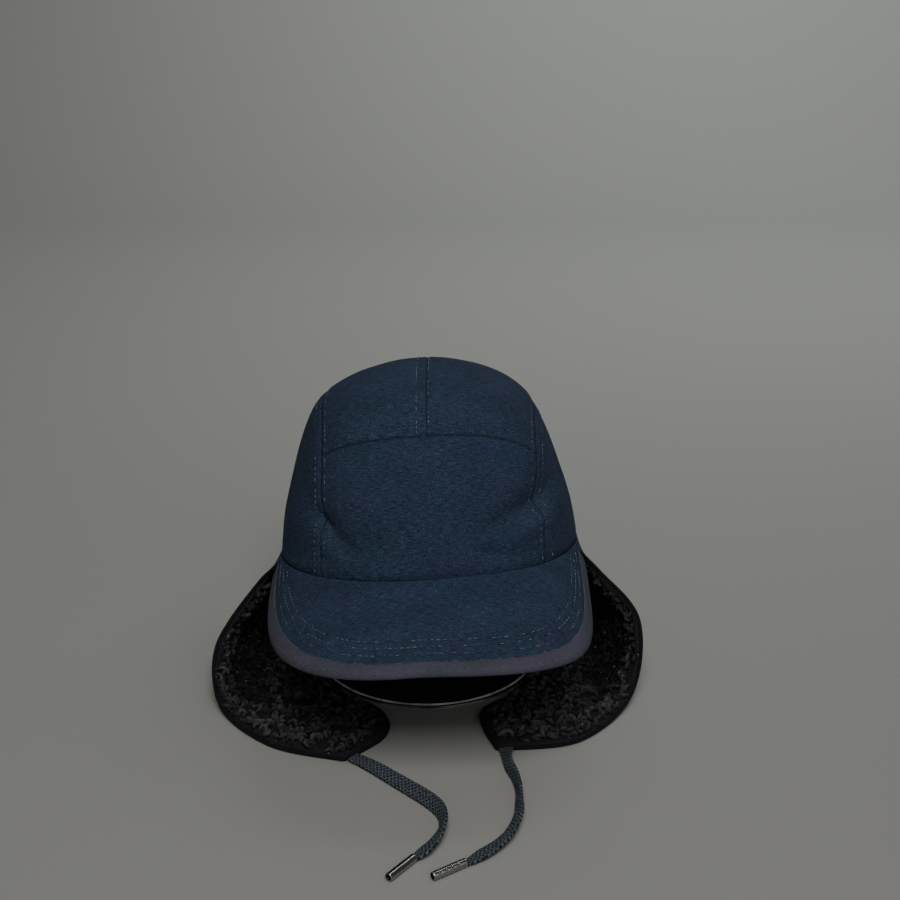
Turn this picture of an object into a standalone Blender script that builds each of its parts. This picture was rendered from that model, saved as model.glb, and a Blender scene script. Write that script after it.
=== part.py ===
"""Five panel cap with a fleece lined ear flap band, on a round display stand.

The cap sits on a small stand and is pressed down, so that its ear flaps bow outward and curl on the
table. Metres, +Z up. The origin is the middle of the stand's round foot, on the table. The visor points
along -Y.
"""
import math

import bpy
import numpy as np

# Crown, in the cap's own frame: its opening lies in the plane z = 0
CROWN_HALF_WIDTH = 0.0835
CROWN_HALF_LENGTH = 0.0990
CROWN_HEIGHT = 0.1032
CROWN_SQUARENESS = 2.3
CAP_CENTRE = (0.0012, 0.0150, 0.0655)
CAP_TILT = math.radians(12.5)
CAP_ROLL = math.radians(-3.0)
PANEL_WALL = 0.0016
GAP = 0.0003
FRONT_PANEL_TOP = math.radians(41.5)
FRONT_PANEL_LIFT = math.radians(3.5)
FRONT_PANEL_LEAN = math.radians(1.0)
# How fast the crown's height falls outside its opening, as a share of its height per plan share
SKIRT_FALL = 5.5
# Steps of halving in a search for the crown's surface, and how far out the search may go
HALVINGS = 40
SEARCH_REACH = 2.5 * CROWN_HALF_LENGTH

# Height of the crown over its opening, as a share of its height, along three directions from its middle
CROWN_PROFILE = (
    # plan share, front, side, back
    (0.00, 1.000, 1.000, 1.000),
    (0.15, 0.995, 0.993, 0.990),
    (0.30, 0.970, 0.968, 0.960),
    (0.45, 0.925, 0.930, 0.910),
    (0.60, 0.855, 0.865, 0.830),
    (0.72, 0.765, 0.770, 0.720),
    (0.82, 0.635, 0.600, 0.580),
    (0.90, 0.450, 0.400, 0.400),
    (0.96, 0.235, 0.215, 0.210),
    (1.00, 0.000, 0.000, 0.000),
)
# The middle strip of panels, from the front edge over the top to the back edge. Its middle seam lies a
# little to the right.
STRIP_CENTRE = 0.0045
STRIP_HALF_WIDTH = (
    # share of the way back, share of the crown's half width
    (0.00, 0.706),
    (0.25, 0.682),
    (0.50, 0.698),
    (0.75, 0.569),
    (1.00, 0.473),
)
# Soft folds pressed into the crown's cloth
CROWN_FOLDS = (
    # azimuth (degrees, 0 = front, + = right), height share, half length, half width, slant (degrees), depth
    (-31.0, 0.235, 0.016, 0.0065, -33.0, 0.0026),
    (34.7, 0.279, 0.036, 0.0120, 14.7, 0.0032),
    (20.6, 0.098, 0.012, 0.0060, -18.0, 0.0014),
)

# Visor, measured from the crown's lower front edge
VISOR_CORNER = math.radians(66.0)
VISOR_HALF_WIDTH = CROWN_HALF_WIDTH + 0.0010
VISOR_REACH = 0.0530
VISOR_SQUARENESS = 2.70
VISOR_RIGHT_SQUARENESS = 3.65
VISOR_SLOPE = math.radians(30.0)
VISOR_BOW = 0.0058
VISOR_WALL = 0.0020
BINDING_WIDTH = 0.0061
BINDING_WALL = 0.0007

# Ear flap band: one section at each azimuth, each point as (share of the crown's half width outward,
# share of its half length backward, height over the table)
FLAP_SHELL_WALL = 0.0012
FLEECE_WALL = 0.0050
SEAM_BLEND = 0.15
SEAM_DROP = 2 * GAP
FLAP_SECTIONS = (
    # azimuth, upper, widest, fold, floor, free edge
    (66.0, (1.14, -0.13, 0.050), (1.37, -0.38, 0.026), (1.32, -0.65, 0.0040),
     (0.95, -0.99, 0.0004), (0.48, -1.13, 0.0004)),
    (74.0, (1.12, -0.05, 0.046), (1.33, -0.27, 0.023), (1.27, -0.53, 0.0018),
     (0.83, -0.85, 0.0004), (0.25, -0.90, 0.0004)),
    (81.0, (1.09, 0.04, 0.043), (1.28, -0.14, 0.020), (1.22, -0.37, 0.0004),
     (0.84, -0.65, 0.0004), (0.29, -0.67, 0.0004)),
    (90.0, (1.06, 0.17, 0.041), (1.21, 0.06, 0.018), (1.16, -0.15, 0.0004),
     (0.88, -0.39, 0.0004), (0.57, -0.46, 0.0004)),
    (107.0, (1.02, 0.44, 0.037), (1.14, 0.41, 0.016), (1.09, 0.26, 0.0004),
     (0.95, 0.10, 0.0004), (0.80, 0.02, 0.0004)),
    (128.0, (0.89, 0.83, 0.033), (0.98, 0.85, 0.015), (0.93, 0.76, 0.0004),
     (0.83, 0.61, 0.0004), (0.75, 0.52, 0.0004)),
    (155.0, (0.46, 1.15, 0.030), (0.50, 1.21, 0.014), (0.47, 1.13, 0.0004),
     (0.41, 0.98, 0.0004), (0.38, 0.86, 0.0004)),
    (180.0, (0.00, 1.24, 0.030), (0.00, 1.30, 0.013), (0.00, 1.22, 0.0004),
     (0.00, 1.07, 0.0004), (0.00, 0.94, 0.0004)),
)
# How far the right flap's sections lie off the left one's: lifted with its side of the crown, and pushed back.
# The shift fades toward the back.
RIGHT_SHIFT = (
    # outward, backward, up, for the points of a section from upper to floor
    (0.0010, 0.0000, 0.0085),
    (0.0020, 0.0040, 0.0130),
    (0.0010, 0.0080, 0.0020),
    (0.0000, 0.0040, 0.0000),
)
# How far the right flap's free edge lies off the left one's, at the first sections
RIGHT_EDGE_SHIFT = (
    # outward, backward, up
    (-0.0030, 0.0094, 0.0000),
    (0.0100, 0.0070, 0.0000),
    (0.0070, 0.0020, 0.0000),
    (0.0020, 0.0000, 0.0000),
)
FLAP_SIDES = (("left", -1.0), ("right", 1.0))

# Laces and their metal tips
LACE_WIDTH = 0.0074
LACE_THICKNESS = 0.0020
TIP_RADIUS = 0.0020
TIP_BORE = 0.0014
TIP_LENGTH = 0.0180
LACE_PATHS = (
    # side, then points of the middle line: x, y, turn of the flat side (degrees)
    ("left", ((-0.0362, -0.1098, 0.0), (-0.0345, -0.1110, 2.0), (-0.0305, -0.1143, 6.0), (-0.0229, -0.1216, 16.0),
              (-0.0136, -0.1313, 24.0), (-0.0055, -0.1397, 32.0), (0.0033, -0.1494, 44.0), (0.0088, -0.1590, 62.0),
              (0.0096, -0.1690, 62.0), (0.0064, -0.1787, 36.0), (0.0015, -0.1860, 20.0), (-0.0029, -0.1905, 8.0))),
    ("right", ((0.0412, -0.1030, 10.0), (0.0416, -0.1062, 26.0), (0.0415, -0.1100, 50.0), (0.0419, -0.1190, 68.0),
               (0.0448, -0.1300, 76.0), (0.0460, -0.1397, 76.0), (0.0457, -0.1518, 66.0), (0.0447, -0.1621, 50.0),
               (0.0405, -0.1735, 34.0), (0.0352, -0.1810, 22.0), (0.0282, -0.1875, 10.0), (0.0205, -0.1940, 4.0))),
)
TIP_TURN = {"left": math.radians(-128.0), "right": math.radians(-146.0)}

# Display stand
BASE_RADIUS = 0.0625
BASE_THICKNESS = 0.0032
BASE_EDGE = 0.0008
POST_RADIUS = 0.0050
HEAD_RADIUS = 0.0340
HEAD_THICKNESS = 0.0040
HEAD_CLEARANCE = 0.0006

MATERIALS = {
    # name: base colour, metallic, roughness
    "navy_canvas": ((0.012, 0.021, 0.034, 1.0), 0.0, 0.90),
    "binding_tape": ((0.030, 0.028, 0.044, 1.0), 0.0, 0.85),
    "black_fleece": ((0.008, 0.007, 0.007, 1.0), 0.0, 0.95),
    "woven_lace": ((0.008, 0.020, 0.026, 1.0), 0.0, 0.85),
    "tip_metal": ((0.42, 0.42, 0.43, 1.0), 1.0, 0.30),
    "stand_black": ((0.010, 0.010, 0.011, 1.0), 0.0, 0.35),
}


def clear_scene():
    """Remove what the start file holds."""
    for obj in list(bpy.data.objects):
        bpy.data.objects.remove(obj, do_unlink=True)


def material_for(name, slot):
    """Return a new material of the slot's colour for one object."""
    colour, metallic, roughness = MATERIALS[slot]
    material = bpy.data.materials.new(name + "_" + slot)
    material.use_nodes = True
    shader = material.node_tree.nodes["Principled BSDF"]
    shader.inputs["Base Color"].default_value = colour
    shader.inputs["Metallic"].default_value = metallic
    shader.inputs["Roughness"].default_value = roughness
    material.diffuse_color = colour
    return material


def add_body(name, points, faces, slot):
    """Make an object from points and faces, faces turned outward."""
    mesh = bpy.data.meshes.new(name)
    mesh.from_pydata([tuple(point) for point in points], [], faces)
    mesh.validate()
    mesh.update()
    obj = bpy.data.objects.new(name, mesh)
    bpy.context.collection.objects.link(obj)
    mesh.materials.append(material_for(name, slot))
    return obj


def signed_volume(points, faces):
    """Volume of a closed body, negative when its faces point inward."""
    total = 0.0
    for face in faces:
        first = points[face[0]]
        for second, third in zip(face[1:-1], face[2:]):
            total += float(np.dot(first, np.cross(points[second], points[third]))) / 6.0
    return total


def wall_between(name, outer, inner, slot):
    """Closed cloth wall between two grids of the same size."""
    rows, columns = outer.shape[:2]
    points = np.concatenate((outer.reshape(-1, 3), inner.reshape(-1, 3)))
    shift = rows * columns
    faces = []
    for i in range(rows - 1):
        for j in range(columns - 1):
            a, b, c, d = i * columns + j, i * columns + j + 1, (i + 1) * columns + j + 1, (i + 1) * columns + j
            faces += [(a, b, c), (a, c, d)]
            faces += [(c + shift, b + shift, a + shift), (d + shift, c + shift, a + shift)]
    rim = [j for j in range(columns)]
    rim += [i * columns + columns - 1 for i in range(1, rows)]
    rim += [(rows - 1) * columns + j for j in range(columns - 2, -1, -1)]
    rim += [i * columns for i in range(rows - 2, 0, -1)]
    for a, b in zip(rim, rim[1:] + rim[:1]):
        faces.append((b, a, a + shift, b + shift))
    if signed_volume(points, faces) < 0.0:
        faces = [face[::-1] for face in faces]
    return add_body(name, points, faces, slot)


def tube_between(name, rings, slot):
    """Closed body through rings of points, with flat ends."""
    count, around = rings.shape[:2]
    points = rings.reshape(-1, 3)
    faces = []
    for i in range(count - 1):
        for j in range(around):
            k = (j + 1) % around
            faces.append((i * around + j, i * around + k, (i + 1) * around + k, (i + 1) * around + j))
    faces.append(tuple(range(around - 1, -1, -1)))
    faces.append(tuple(range((count - 1) * around, count * around)))
    if signed_volume(points, faces) < 0.0:
        faces = [face[::-1] for face in faces]
    return add_body(name, points, faces, slot)


def smooth_rows(rows, count):
    """Draw a smooth line through the rows and return count evenly spread rows of it."""
    rows = np.asarray(rows, float)
    place = np.linspace(0.0, len(rows) - 1.0, count)
    first = np.minimum(place.astype(int), len(rows) - 2)
    share = (place - first).reshape((-1,) + (1,) * (rows.ndim - 1))
    slope = np.gradient(rows, axis=0)
    start, end = rows[first], rows[first + 1]
    cube, square = share ** 3, share ** 2
    return ((2 * cube - 3 * square + 1) * start + (cube - 2 * square + share) * slope[first]
            + (3 * square - 2 * cube) * end + (cube - square) * slope[first + 1])


def strip_half_width(u):
    """Half width of the middle strip at angle u over the crown."""
    fine = smooth_rows(STRIP_HALF_WIDTH, 41)
    return CROWN_HALF_WIDTH * np.interp(np.asarray(u) / math.pi, fine[:, 0], fine[:, 1])


def crown_height_at(x, y):
    """Height of the crown's outside over the opening plane."""
    fine = smooth_rows(CROWN_PROFILE, 73)
    plan = (np.abs(x / CROWN_HALF_WIDTH) ** CROWN_SQUARENESS
            + np.abs(y / CROWN_HALF_LENGTH) ** CROWN_SQUARENESS) ** (1.0 / CROWN_SQUARENESS)
    front, side, back = (np.interp(plan, fine[:, 0], fine[:, k]) for k in (1, 2, 3))
    along = y ** 2 / (x ** 2 + y ** 2 + 1e-12)
    ends = np.where(y < 0.0, front, back)
    share = along * ends + (1.0 - along) * side
    return CROWN_HEIGHT * (share - SKIRT_FALL * np.maximum(plan - 1.0, 0.0))


def reach_along(direction, start):
    """Distance from start along direction to the crown's outside, by halving."""
    near = np.zeros(direction.shape[:-1])
    far = near + SEARCH_REACH
    for _ in range(HALVINGS):
        middle = 0.5 * (near + far)
        point = start + direction * middle[..., None]
        outside = point[..., 2] > crown_height_at(point[..., 0], point[..., 1])
        near, far = np.where(outside, near, middle), np.where(outside, middle, far)
    return start + direction * near[..., None]


def crown_normal(point):
    """Outward direction of the crown at a point on it."""
    step = 0.0004
    x, y = point[..., 0], point[..., 1]
    slope_x = (crown_height_at(x + step, y) - crown_height_at(x - step, y)) / (2 * step)
    slope_y = (crown_height_at(x, y + step) - crown_height_at(x, y - step)) / (2 * step)
    normal = np.stack((-slope_x, -slope_y, np.ones_like(slope_x)), -1)
    return normal / np.linalg.norm(normal, axis=-1, keepdims=True)


def folded(point):
    """Press the soft folds into points of the crown."""
    azimuth = np.arctan2(point[..., 0], -point[..., 1])
    depth = np.zeros_like(azimuth)
    for degrees, height, half_length, half_width, slant, deep in CROWN_FOLDS:
        across = (azimuth - math.radians(degrees)) * CROWN_HALF_LENGTH
        up = point[..., 2] - height * CROWN_HEIGHT
        turn = math.radians(slant)
        along = across * math.cos(turn) + up * math.sin(turn)
        side = up * math.cos(turn) - across * math.sin(turn)
        depth += deep * np.exp(-(along / half_length) ** 2 - (side / half_width) ** 2)
    return point - crown_normal(point) * depth[..., None]


def strip_point(x, u):
    """Point of the crown at lateral place x and angle u over its top, 0 at the front edge."""
    x, u = np.broadcast_arrays(x, u)
    start = np.stack((x, np.zeros_like(x), np.zeros_like(x)), -1)
    direction = np.stack((np.zeros_like(x), -np.cos(u), np.sin(u)), -1)
    return reach_along(direction, start)


def ring_point(azimuth, height):
    """Point of the crown at an azimuth and a height over the opening."""
    azimuth, height = np.broadcast_arrays(azimuth, height)
    zero = np.zeros_like(azimuth, dtype=float)
    start = np.stack((zero, zero, height), -1)
    direction = np.stack((np.sin(azimuth), -np.cos(azimuth), zero), -1)
    return reach_along(direction, start)


def to_table(point):
    """Move points from the cap's own frame to the part's frame."""
    tilt_c, tilt_s = math.cos(CAP_TILT), math.sin(CAP_TILT)
    roll_c, roll_s = math.cos(CAP_ROLL), math.sin(CAP_ROLL)
    roll = np.array(((roll_c, 0.0, roll_s), (0.0, 1.0, 0.0), (-roll_s, 0.0, roll_c)))
    tilt = np.array(((1.0, 0.0, 0.0), (0.0, tilt_c, tilt_s), (0.0, -tilt_s, tilt_c)))
    return point @ (roll @ tilt).T + np.array(CAP_CENTRE)


def front_panel_top(share):
    """Angle over the crown of the seam above the front panel, at a share of the strip's half width."""
    return FRONT_PANEL_TOP + FRONT_PANEL_LIFT * share ** 2 + FRONT_PANEL_LEAN * share


def crown_wall(name, point):
    """Cloth wall of the crown under a grid of points in the cap's frame."""
    outer = folded(point)
    inner = outer - crown_normal(point) * PANEL_WALL
    return wall_between(name, to_table(outer), to_table(inner), "navy_canvas")


def build_middle_panels():
    """Front panel and the two top panels."""
    edge = 0.5 * GAP / CROWN_HEIGHT
    across = np.linspace(-1.0, 1.0, 15)[None, :]
    rows = np.linspace(0.0, 1.0, 9)[:, None] * (front_panel_top(across) - edge)
    crown_wall("front_panel", strip_point(STRIP_CENTRE + across * (strip_half_width(rows) - 0.5 * GAP), rows))
    share = np.linspace(0.0, 1.0, 8)[None, :]
    back = np.linspace(0.0, 1.0, 20)[:, None]
    for side, sign in (("left", -1.0), ("right", 1.0)):
        first = front_panel_top(sign * share) + edge
        rows = first + (math.pi - first) * back
        x = 0.5 * GAP + share * (strip_half_width(rows) - GAP)
        crown_wall("top_panel_" + side, strip_point(STRIP_CENTRE + sign * x, rows))


def build_side_panels():
    """D shaped side panels between the middle strip's edge and the crown's lower edge."""
    front_turn, back_turn = math.radians(30.0), math.radians(152.0)
    columns, rows = 18, 9
    for side, sign in (("left", -1.0), ("right", 1.0)):
        def seam(u):
            point = strip_point(STRIP_CENTRE + sign * (strip_half_width(u) + 0.5 * GAP), u)
            return np.stack((np.arctan2(point[..., 0], -point[..., 1]), point[..., 2]), -1)

        top = seam(np.linspace(front_turn, back_turn, columns))
        front = seam(np.linspace(0.0, front_turn, rows))
        back = seam(np.linspace(math.pi, back_turn, rows))
        low = np.stack((np.linspace(front[0, 0], back[0, 0], columns), np.zeros(columns)), -1)
        p = np.linspace(0.0, 1.0, columns)[None, :, None]
        q = np.linspace(0.0, 1.0, rows)[:, None, None]
        plan = ((1 - q) * low[None] + q * top[None] + (1 - p) * front[:, None] + p * back[:, None]
                - (1 - p) * (1 - q) * front[0] - p * (1 - q) * back[0]
                - (1 - p) * q * front[-1] - p * q * back[-1])
        crown_wall("side_panel_" + side, ring_point(plan[..., 0], plan[..., 1]))


def visor_point(across, out):
    """Point of the visor's upper side: across from -1 to 1, out from the crown's edge (0) to the rim (1)."""
    across, out = np.broadcast_arrays(across, out)
    azimuth = across * VISOR_CORNER
    root = ring_point(azimuth, np.zeros_like(azimuth))
    root = root * (1.0 + GAP / np.linalg.norm(root, axis=-1, keepdims=True))
    corner = ring_point(np.array([VISOR_CORNER]), np.zeros(1))[0]
    turn = across * math.pi / 2
    power = 2.0 / (VISOR_SQUARENESS + (VISOR_RIGHT_SQUARENESS - VISOR_SQUARENESS) * np.clip(np.sin(turn), 0.0, 1.0))
    x = VISOR_HALF_WIDTH * np.sign(turn) * np.abs(np.sin(turn)) ** power
    depth = VISOR_REACH + CROWN_HALF_LENGTH + corner[1]
    y = corner[1] - depth * np.abs(np.cos(turn)) ** power
    rim = np.stack((x, y, np.zeros_like(x)), -1)
    point = root + (rim - root) * out[..., None]
    distance = np.linalg.norm((point - root)[..., :2], axis=-1)
    side = (point[..., 0] / VISOR_HALF_WIDTH) ** 2
    point[..., 2] = -math.tan(VISOR_SLOPE) * distance - VISOR_BOW * side * out
    return point


def inward_from_rim(across, rim):
    """Steps over the visor toward the crown, each one unit inward when measured square to the rim."""
    inward = visor_point(across, np.full(len(across), 0.9)) - rim
    inward /= np.linalg.norm(inward, axis=-1, keepdims=True)
    ahead = np.gradient(rim, axis=0)
    ahead /= np.linalg.norm(ahead, axis=-1, keepdims=True)
    slant = np.linalg.norm(np.cross(inward, ahead), axis=-1, keepdims=True)
    return inward / slant


def grid_normal(grid):
    """Unit normals of a grid of points."""
    normal = np.cross(np.gradient(grid, axis=1), np.gradient(grid, axis=0))
    return normal / np.maximum(np.linalg.norm(normal, axis=-1, keepdims=True), 1e-9)


def build_visor():
    """Stiff visor and the tape folded over its rim."""
    across = np.linspace(-1.0, 1.0, 27)[None, :]
    out = np.linspace(0.0, 1.0, 7)[:, None]
    upper = visor_point(across, out)
    lower = upper - np.array((0.0, 0.0, VISOR_WALL))
    wall_between("visor", to_table(upper), to_table(lower), "navy_canvas")
    rim = visor_point(across[0], np.ones(27))
    inward = inward_from_rim(across[0], rim)
    up = np.array((0.0, 0.0, 1.0))
    top, low = GAP, -VISOR_WALL - GAP
    profile = (
        # inward from the rim, up from the visor's upper side
        (BINDING_WIDTH, top), (BINDING_WIDTH, top + BINDING_WALL), (-GAP, top + BINDING_WALL),
        (-GAP - BINDING_WALL, top), (-GAP - BINDING_WALL, low), (-GAP, low - BINDING_WALL),
        (BINDING_WIDTH, low - BINDING_WALL), (BINDING_WIDTH, low), (-GAP, low), (-GAP, top),
    )
    rings = np.stack([rim + inward * side + up * height for side, height in profile], 1)
    tube_between("visor_binding", to_table(rings), "binding_tape")


def crown_edge(azimuths):
    """Points just under the crown's lower edge, in the part's frame."""
    return to_table(ring_point(azimuths, np.full(azimuths.shape, -SEAM_DROP)))


def flap_section(place, right):
    """Five points of a section as outward, backward and up, the right side's with its shifts."""
    points = np.array(FLAP_SECTIONS[place][1:]) * (CROWN_HALF_WIDTH, CROWN_HALF_LENGTH, 1.0)
    if right:
        points[:-1] += np.array(RIGHT_SHIFT) * (1.0 - (place / (len(FLAP_SECTIONS) - 1.0)) ** 2)
        points[-1] += RIGHT_EDGE_SHIFT[min(place, len(RIGHT_EDGE_SHIFT) - 1)]
        points[-1, 0] = points[-1, 0] if place < len(FLAP_SECTIONS) - 1 else 0.0
    return points


def flap_surface(sign, stations, steps):
    """Outside of half of the band: smooth lines through its sections, from the front edge back and from the
    seam to the free edge."""
    azimuths = np.radians([row[0] for row in FLAP_SECTIONS])
    seam = crown_edge(sign * azimuths)
    table = [np.concatenate((seam[place:place + 1], flap_section(place, sign > 0.0) * (sign, 1.0, 1.0)))
             for place in range(len(FLAP_SECTIONS))]
    coarse = smooth_rows(table, stations)
    coarse[:, 0] = crown_edge(sign * smooth_rows(azimuths, stations))
    surface = smooth_rows(coarse.transpose(1, 0, 2), steps).transpose(1, 0, 2)
    surface[..., 2] = np.maximum(surface[..., 2], GAP)
    return surface


def flap_normal(outer, sign):
    """Directions toward the fleece side, level with the opening along the seam."""
    normal = -sign * grid_normal(outer)
    plane = to_table(np.array(((0.0, 0.0, 1.0), (0.0, 0.0, 0.0))))
    upright = plane[0] - plane[1]
    level = normal - (normal @ upright)[..., None] * upright
    level /= np.linalg.norm(level, axis=-1, keepdims=True)
    steps = np.linspace(0.0, 1.0, outer.shape[1])[None, :, None]
    share = np.clip(1.0 - steps / SEAM_BLEND, 0.0, 1.0)
    mixed = share * level + (1.0 - share) * normal
    return mixed / np.linalg.norm(mixed, axis=-1, keepdims=True)


def build_flaps():
    """Cloth shell and fleece of both halves of the ear flap band."""
    for side, sign in FLAP_SIDES:
        outer = flap_surface(sign, 20, 16)
        normal = flap_normal(outer, sign)
        middle = outer + normal * FLAP_SHELL_WALL
        fleece = middle + normal * GAP
        inner = fleece + normal * FLEECE_WALL
        for grid in (outer, middle, fleece, inner):
            grid[-1, :, 0] = sign * 0.5 * GAP
        wall_between("flap_shell_" + side, outer, middle, "navy_canvas")
        wall_between("flap_fleece_" + side, fleece, inner, "black_fleece")


def build_laces():
    """Flat laces on the table and their metal tips."""
    half_width, half_thick = 0.5 * LACE_WIDTH, 0.5 * LACE_THICKNESS
    outline = ((1.0, 0.5), (0.85, 1.0), (-0.85, 1.0), (-1.0, 0.5), (-1.0, -0.5), (-0.85, -1.0), (0.85, -1.0), (1.0, -0.5))
    for side, points in LACE_PATHS:
        line = smooth_rows(np.array(points), 31)
        ahead = np.gradient(line[:, :2], axis=0)
        ahead /= np.linalg.norm(ahead, axis=-1, keepdims=True)
        across = np.stack((-ahead[:, 1], ahead[:, 0]), -1)
        turn = np.radians(line[:, 2])
        share = np.linspace(0.0, 1.0, len(line))
        narrow = 1.0 - 0.52 * np.clip((share - 0.90) / 0.10, 0.0, 1.0)
        rings = []
        for wide, thick in outline:
            a = wide * half_width * narrow
            b = thick * half_thick
            level = a * np.sin(turn) + b * np.cos(turn)
            flat = a * np.cos(turn) - b * np.sin(turn)
            middle = half_width * narrow * np.sin(turn) + half_thick * np.cos(turn) + GAP
            rings.append(np.stack((line[:, 0] + across[:, 0] * flat, line[:, 1] + across[:, 1] * flat,
                                   middle + level), -1))
        tube_between("lace_" + side, np.stack(rings, 1), "woven_lace")
        build_lace_tip(side, line[-1], TIP_TURN[side])


def build_lace_tip(side, end, turn):
    """Metal tube that begins at a lace's end and lies on the table, open at its far end."""
    ahead = np.array((math.cos(turn), math.sin(turn), 0.0))
    start = np.array((end[0], end[1], TIP_RADIUS + GAP)) + ahead * 2 * GAP
    across = np.array((-ahead[1], ahead[0], 0.0))
    up = np.array((0.0, 0.0, 1.0))
    bevel = 0.15 * TIP_RADIUS
    profile = (
        # distance along, radius
        (0.0, TIP_RADIUS - bevel), (bevel, TIP_RADIUS), (TIP_LENGTH - bevel, TIP_RADIUS),
        (TIP_LENGTH, TIP_RADIUS - bevel), (TIP_LENGTH, TIP_BORE), (0.6 * TIP_LENGTH, TIP_BORE),
    )
    angles = np.linspace(0.0, 2.0 * math.pi, 17)[:-1]
    rings = []
    for along, radius in profile:
        ring = start + ahead * along + radius * (np.cos(angles)[:, None] * across + np.sin(angles)[:, None] * up)
        rings.append(ring)
    tube_between("lace_tip_" + side, np.stack(rings), "tip_metal")


def lathe(name, profile, sides, slot):
    """Turn a profile of radius and height round the Z axis into a closed body."""
    angles = np.linspace(0.0, 2.0 * math.pi, sides + 1)[:-1]
    rings = [np.stack((radius * np.cos(angles), radius * np.sin(angles), np.full(sides, height)), -1)
             for radius, height in profile]
    return tube_between(name, np.stack(rings), slot)


def build_stand():
    """Round foot, post and the pad under the crown."""
    lathe("stand_base", ((BASE_RADIUS - BASE_EDGE, 0.0), (BASE_RADIUS, BASE_EDGE),
                         (BASE_RADIUS, BASE_THICKNESS - BASE_EDGE),
                         (BASE_RADIUS - BASE_EDGE, BASE_THICKNESS)), 56, "stand_black")
    angles = np.linspace(0.0, 2.0 * math.pi, 33)[:-1]
    radii = np.linspace(0.12, 1.0, 6) * HEAD_RADIUS
    top = np.stack([pad_ring(radius, angles) for radius in radii])
    low = float(top[..., 2].min()) - HEAD_THICKNESS
    bottom = top[::-1].copy()
    bottom[..., 2] = low
    tube_between("stand_head", np.concatenate((top, bottom[:1], bottom[-1:])), "stand_black")
    lathe("stand_post", ((POST_RADIUS, BASE_THICKNESS + GAP), (POST_RADIUS, low - GAP)), 24, "stand_black")


def pad_ring(radius, angles):
    """Ring of points just under the crown's cloth, seen from above a circle round the post."""
    x, y = radius * np.cos(angles), radius * np.sin(angles)
    base = np.stack((x, y, np.full_like(x, BASE_THICKNESS)), -1)
    point = np.stack([under_crown(place) for place in base])
    return point


def under_crown(place):
    """Highest free point above a place of the foot, by halving."""
    origin = to_table(np.zeros(3))
    axes = to_table(np.eye(3)) - origin
    near, far = 0.0, SEARCH_REACH
    for _ in range(HALVINGS):
        middle = 0.5 * (near + far)
        own = axes @ (place + np.array((0.0, 0.0, middle)) - origin)
        height = float(crown_height_at(own[0:1], own[1:2])[0])
        steepness = float(crown_normal(own[None, :])[0, 2])
        if own[2] > height - (PANEL_WALL + HEAD_CLEARANCE) / steepness:
            far = middle
        else:
            near = middle
    return place + np.array((0.0, 0.0, near))


clear_scene()
build_middle_panels()
build_side_panels()
build_visor()
build_flaps()
build_laces()
build_stand()
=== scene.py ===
"""Looks of the ear flap cap on its display stand: cloth panels, stitching, fleece, laces and stand.

Metres, +Z up, the visor along -Y, the origin under the middle of the stand's foot.
"""

import math

import bmesh
import bpy
import numpy as np
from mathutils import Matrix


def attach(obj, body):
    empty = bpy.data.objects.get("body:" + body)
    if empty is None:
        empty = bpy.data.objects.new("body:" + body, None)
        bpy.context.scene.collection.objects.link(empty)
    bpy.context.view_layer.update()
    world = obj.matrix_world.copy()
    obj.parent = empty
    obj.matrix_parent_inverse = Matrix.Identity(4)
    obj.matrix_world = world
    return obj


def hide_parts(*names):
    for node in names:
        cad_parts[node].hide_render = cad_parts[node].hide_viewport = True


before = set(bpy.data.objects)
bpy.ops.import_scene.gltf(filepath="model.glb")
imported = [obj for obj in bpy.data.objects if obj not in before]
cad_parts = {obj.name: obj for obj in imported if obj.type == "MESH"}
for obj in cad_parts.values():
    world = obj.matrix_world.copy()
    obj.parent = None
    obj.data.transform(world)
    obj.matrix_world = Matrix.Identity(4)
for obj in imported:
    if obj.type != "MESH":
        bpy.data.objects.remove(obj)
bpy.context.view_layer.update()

# Crown, in the cap's own frame, as the part's source gives it
CROWN_HALF_WIDTH = 0.0835
CROWN_HALF_LENGTH = 0.0990
CROWN_HEIGHT = 0.1032
CROWN_SQUARENESS = 2.3
CAP_CENTRE = (0.0012, 0.0150, 0.0655)
CAP_TILT = math.radians(12.5)
CAP_ROLL = math.radians(-3.0)
FRONT_PANEL_TOP = math.radians(41.5)
FRONT_PANEL_LIFT = math.radians(3.5)
FRONT_PANEL_LEAN = math.radians(1.0)
SKIRT_FALL = 5.5
SEARCH_REACH = 2.5 * CROWN_HALF_LENGTH
HALVINGS = 34
MEAN_RADIUS = 0.1
STRIP_CENTRE = 0.0045
CROWN_PROFILE = (
    # plan share, front, side, back
    (0.00, 1.000, 1.000, 1.000),
    (0.15, 0.995, 0.993, 0.990),
    (0.30, 0.970, 0.968, 0.960),
    (0.45, 0.925, 0.930, 0.910),
    (0.60, 0.855, 0.865, 0.830),
    (0.72, 0.765, 0.770, 0.720),
    (0.82, 0.635, 0.600, 0.580),
    (0.90, 0.450, 0.400, 0.400),
    (0.96, 0.235, 0.215, 0.210),
    (1.00, 0.000, 0.000, 0.000),
)
STRIP_HALF_WIDTH = (
    # share of the way back, share of the crown's half width
    (0.00, 0.706),
    (0.25, 0.682),
    (0.50, 0.698),
    (0.75, 0.569),
    (1.00, 0.473),
)
CROWN_FOLDS = (
    # azimuth (degrees), height share, half length, half width, slant (degrees), depth
    (-31.0, 0.235, 0.016, 0.0065, -33.0, 0.0026),
    (34.7, 0.279, 0.036, 0.0120, 14.7, 0.0032),
    (20.6, 0.098, 0.012, 0.0060, -18.0, 0.0014),
)
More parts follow.
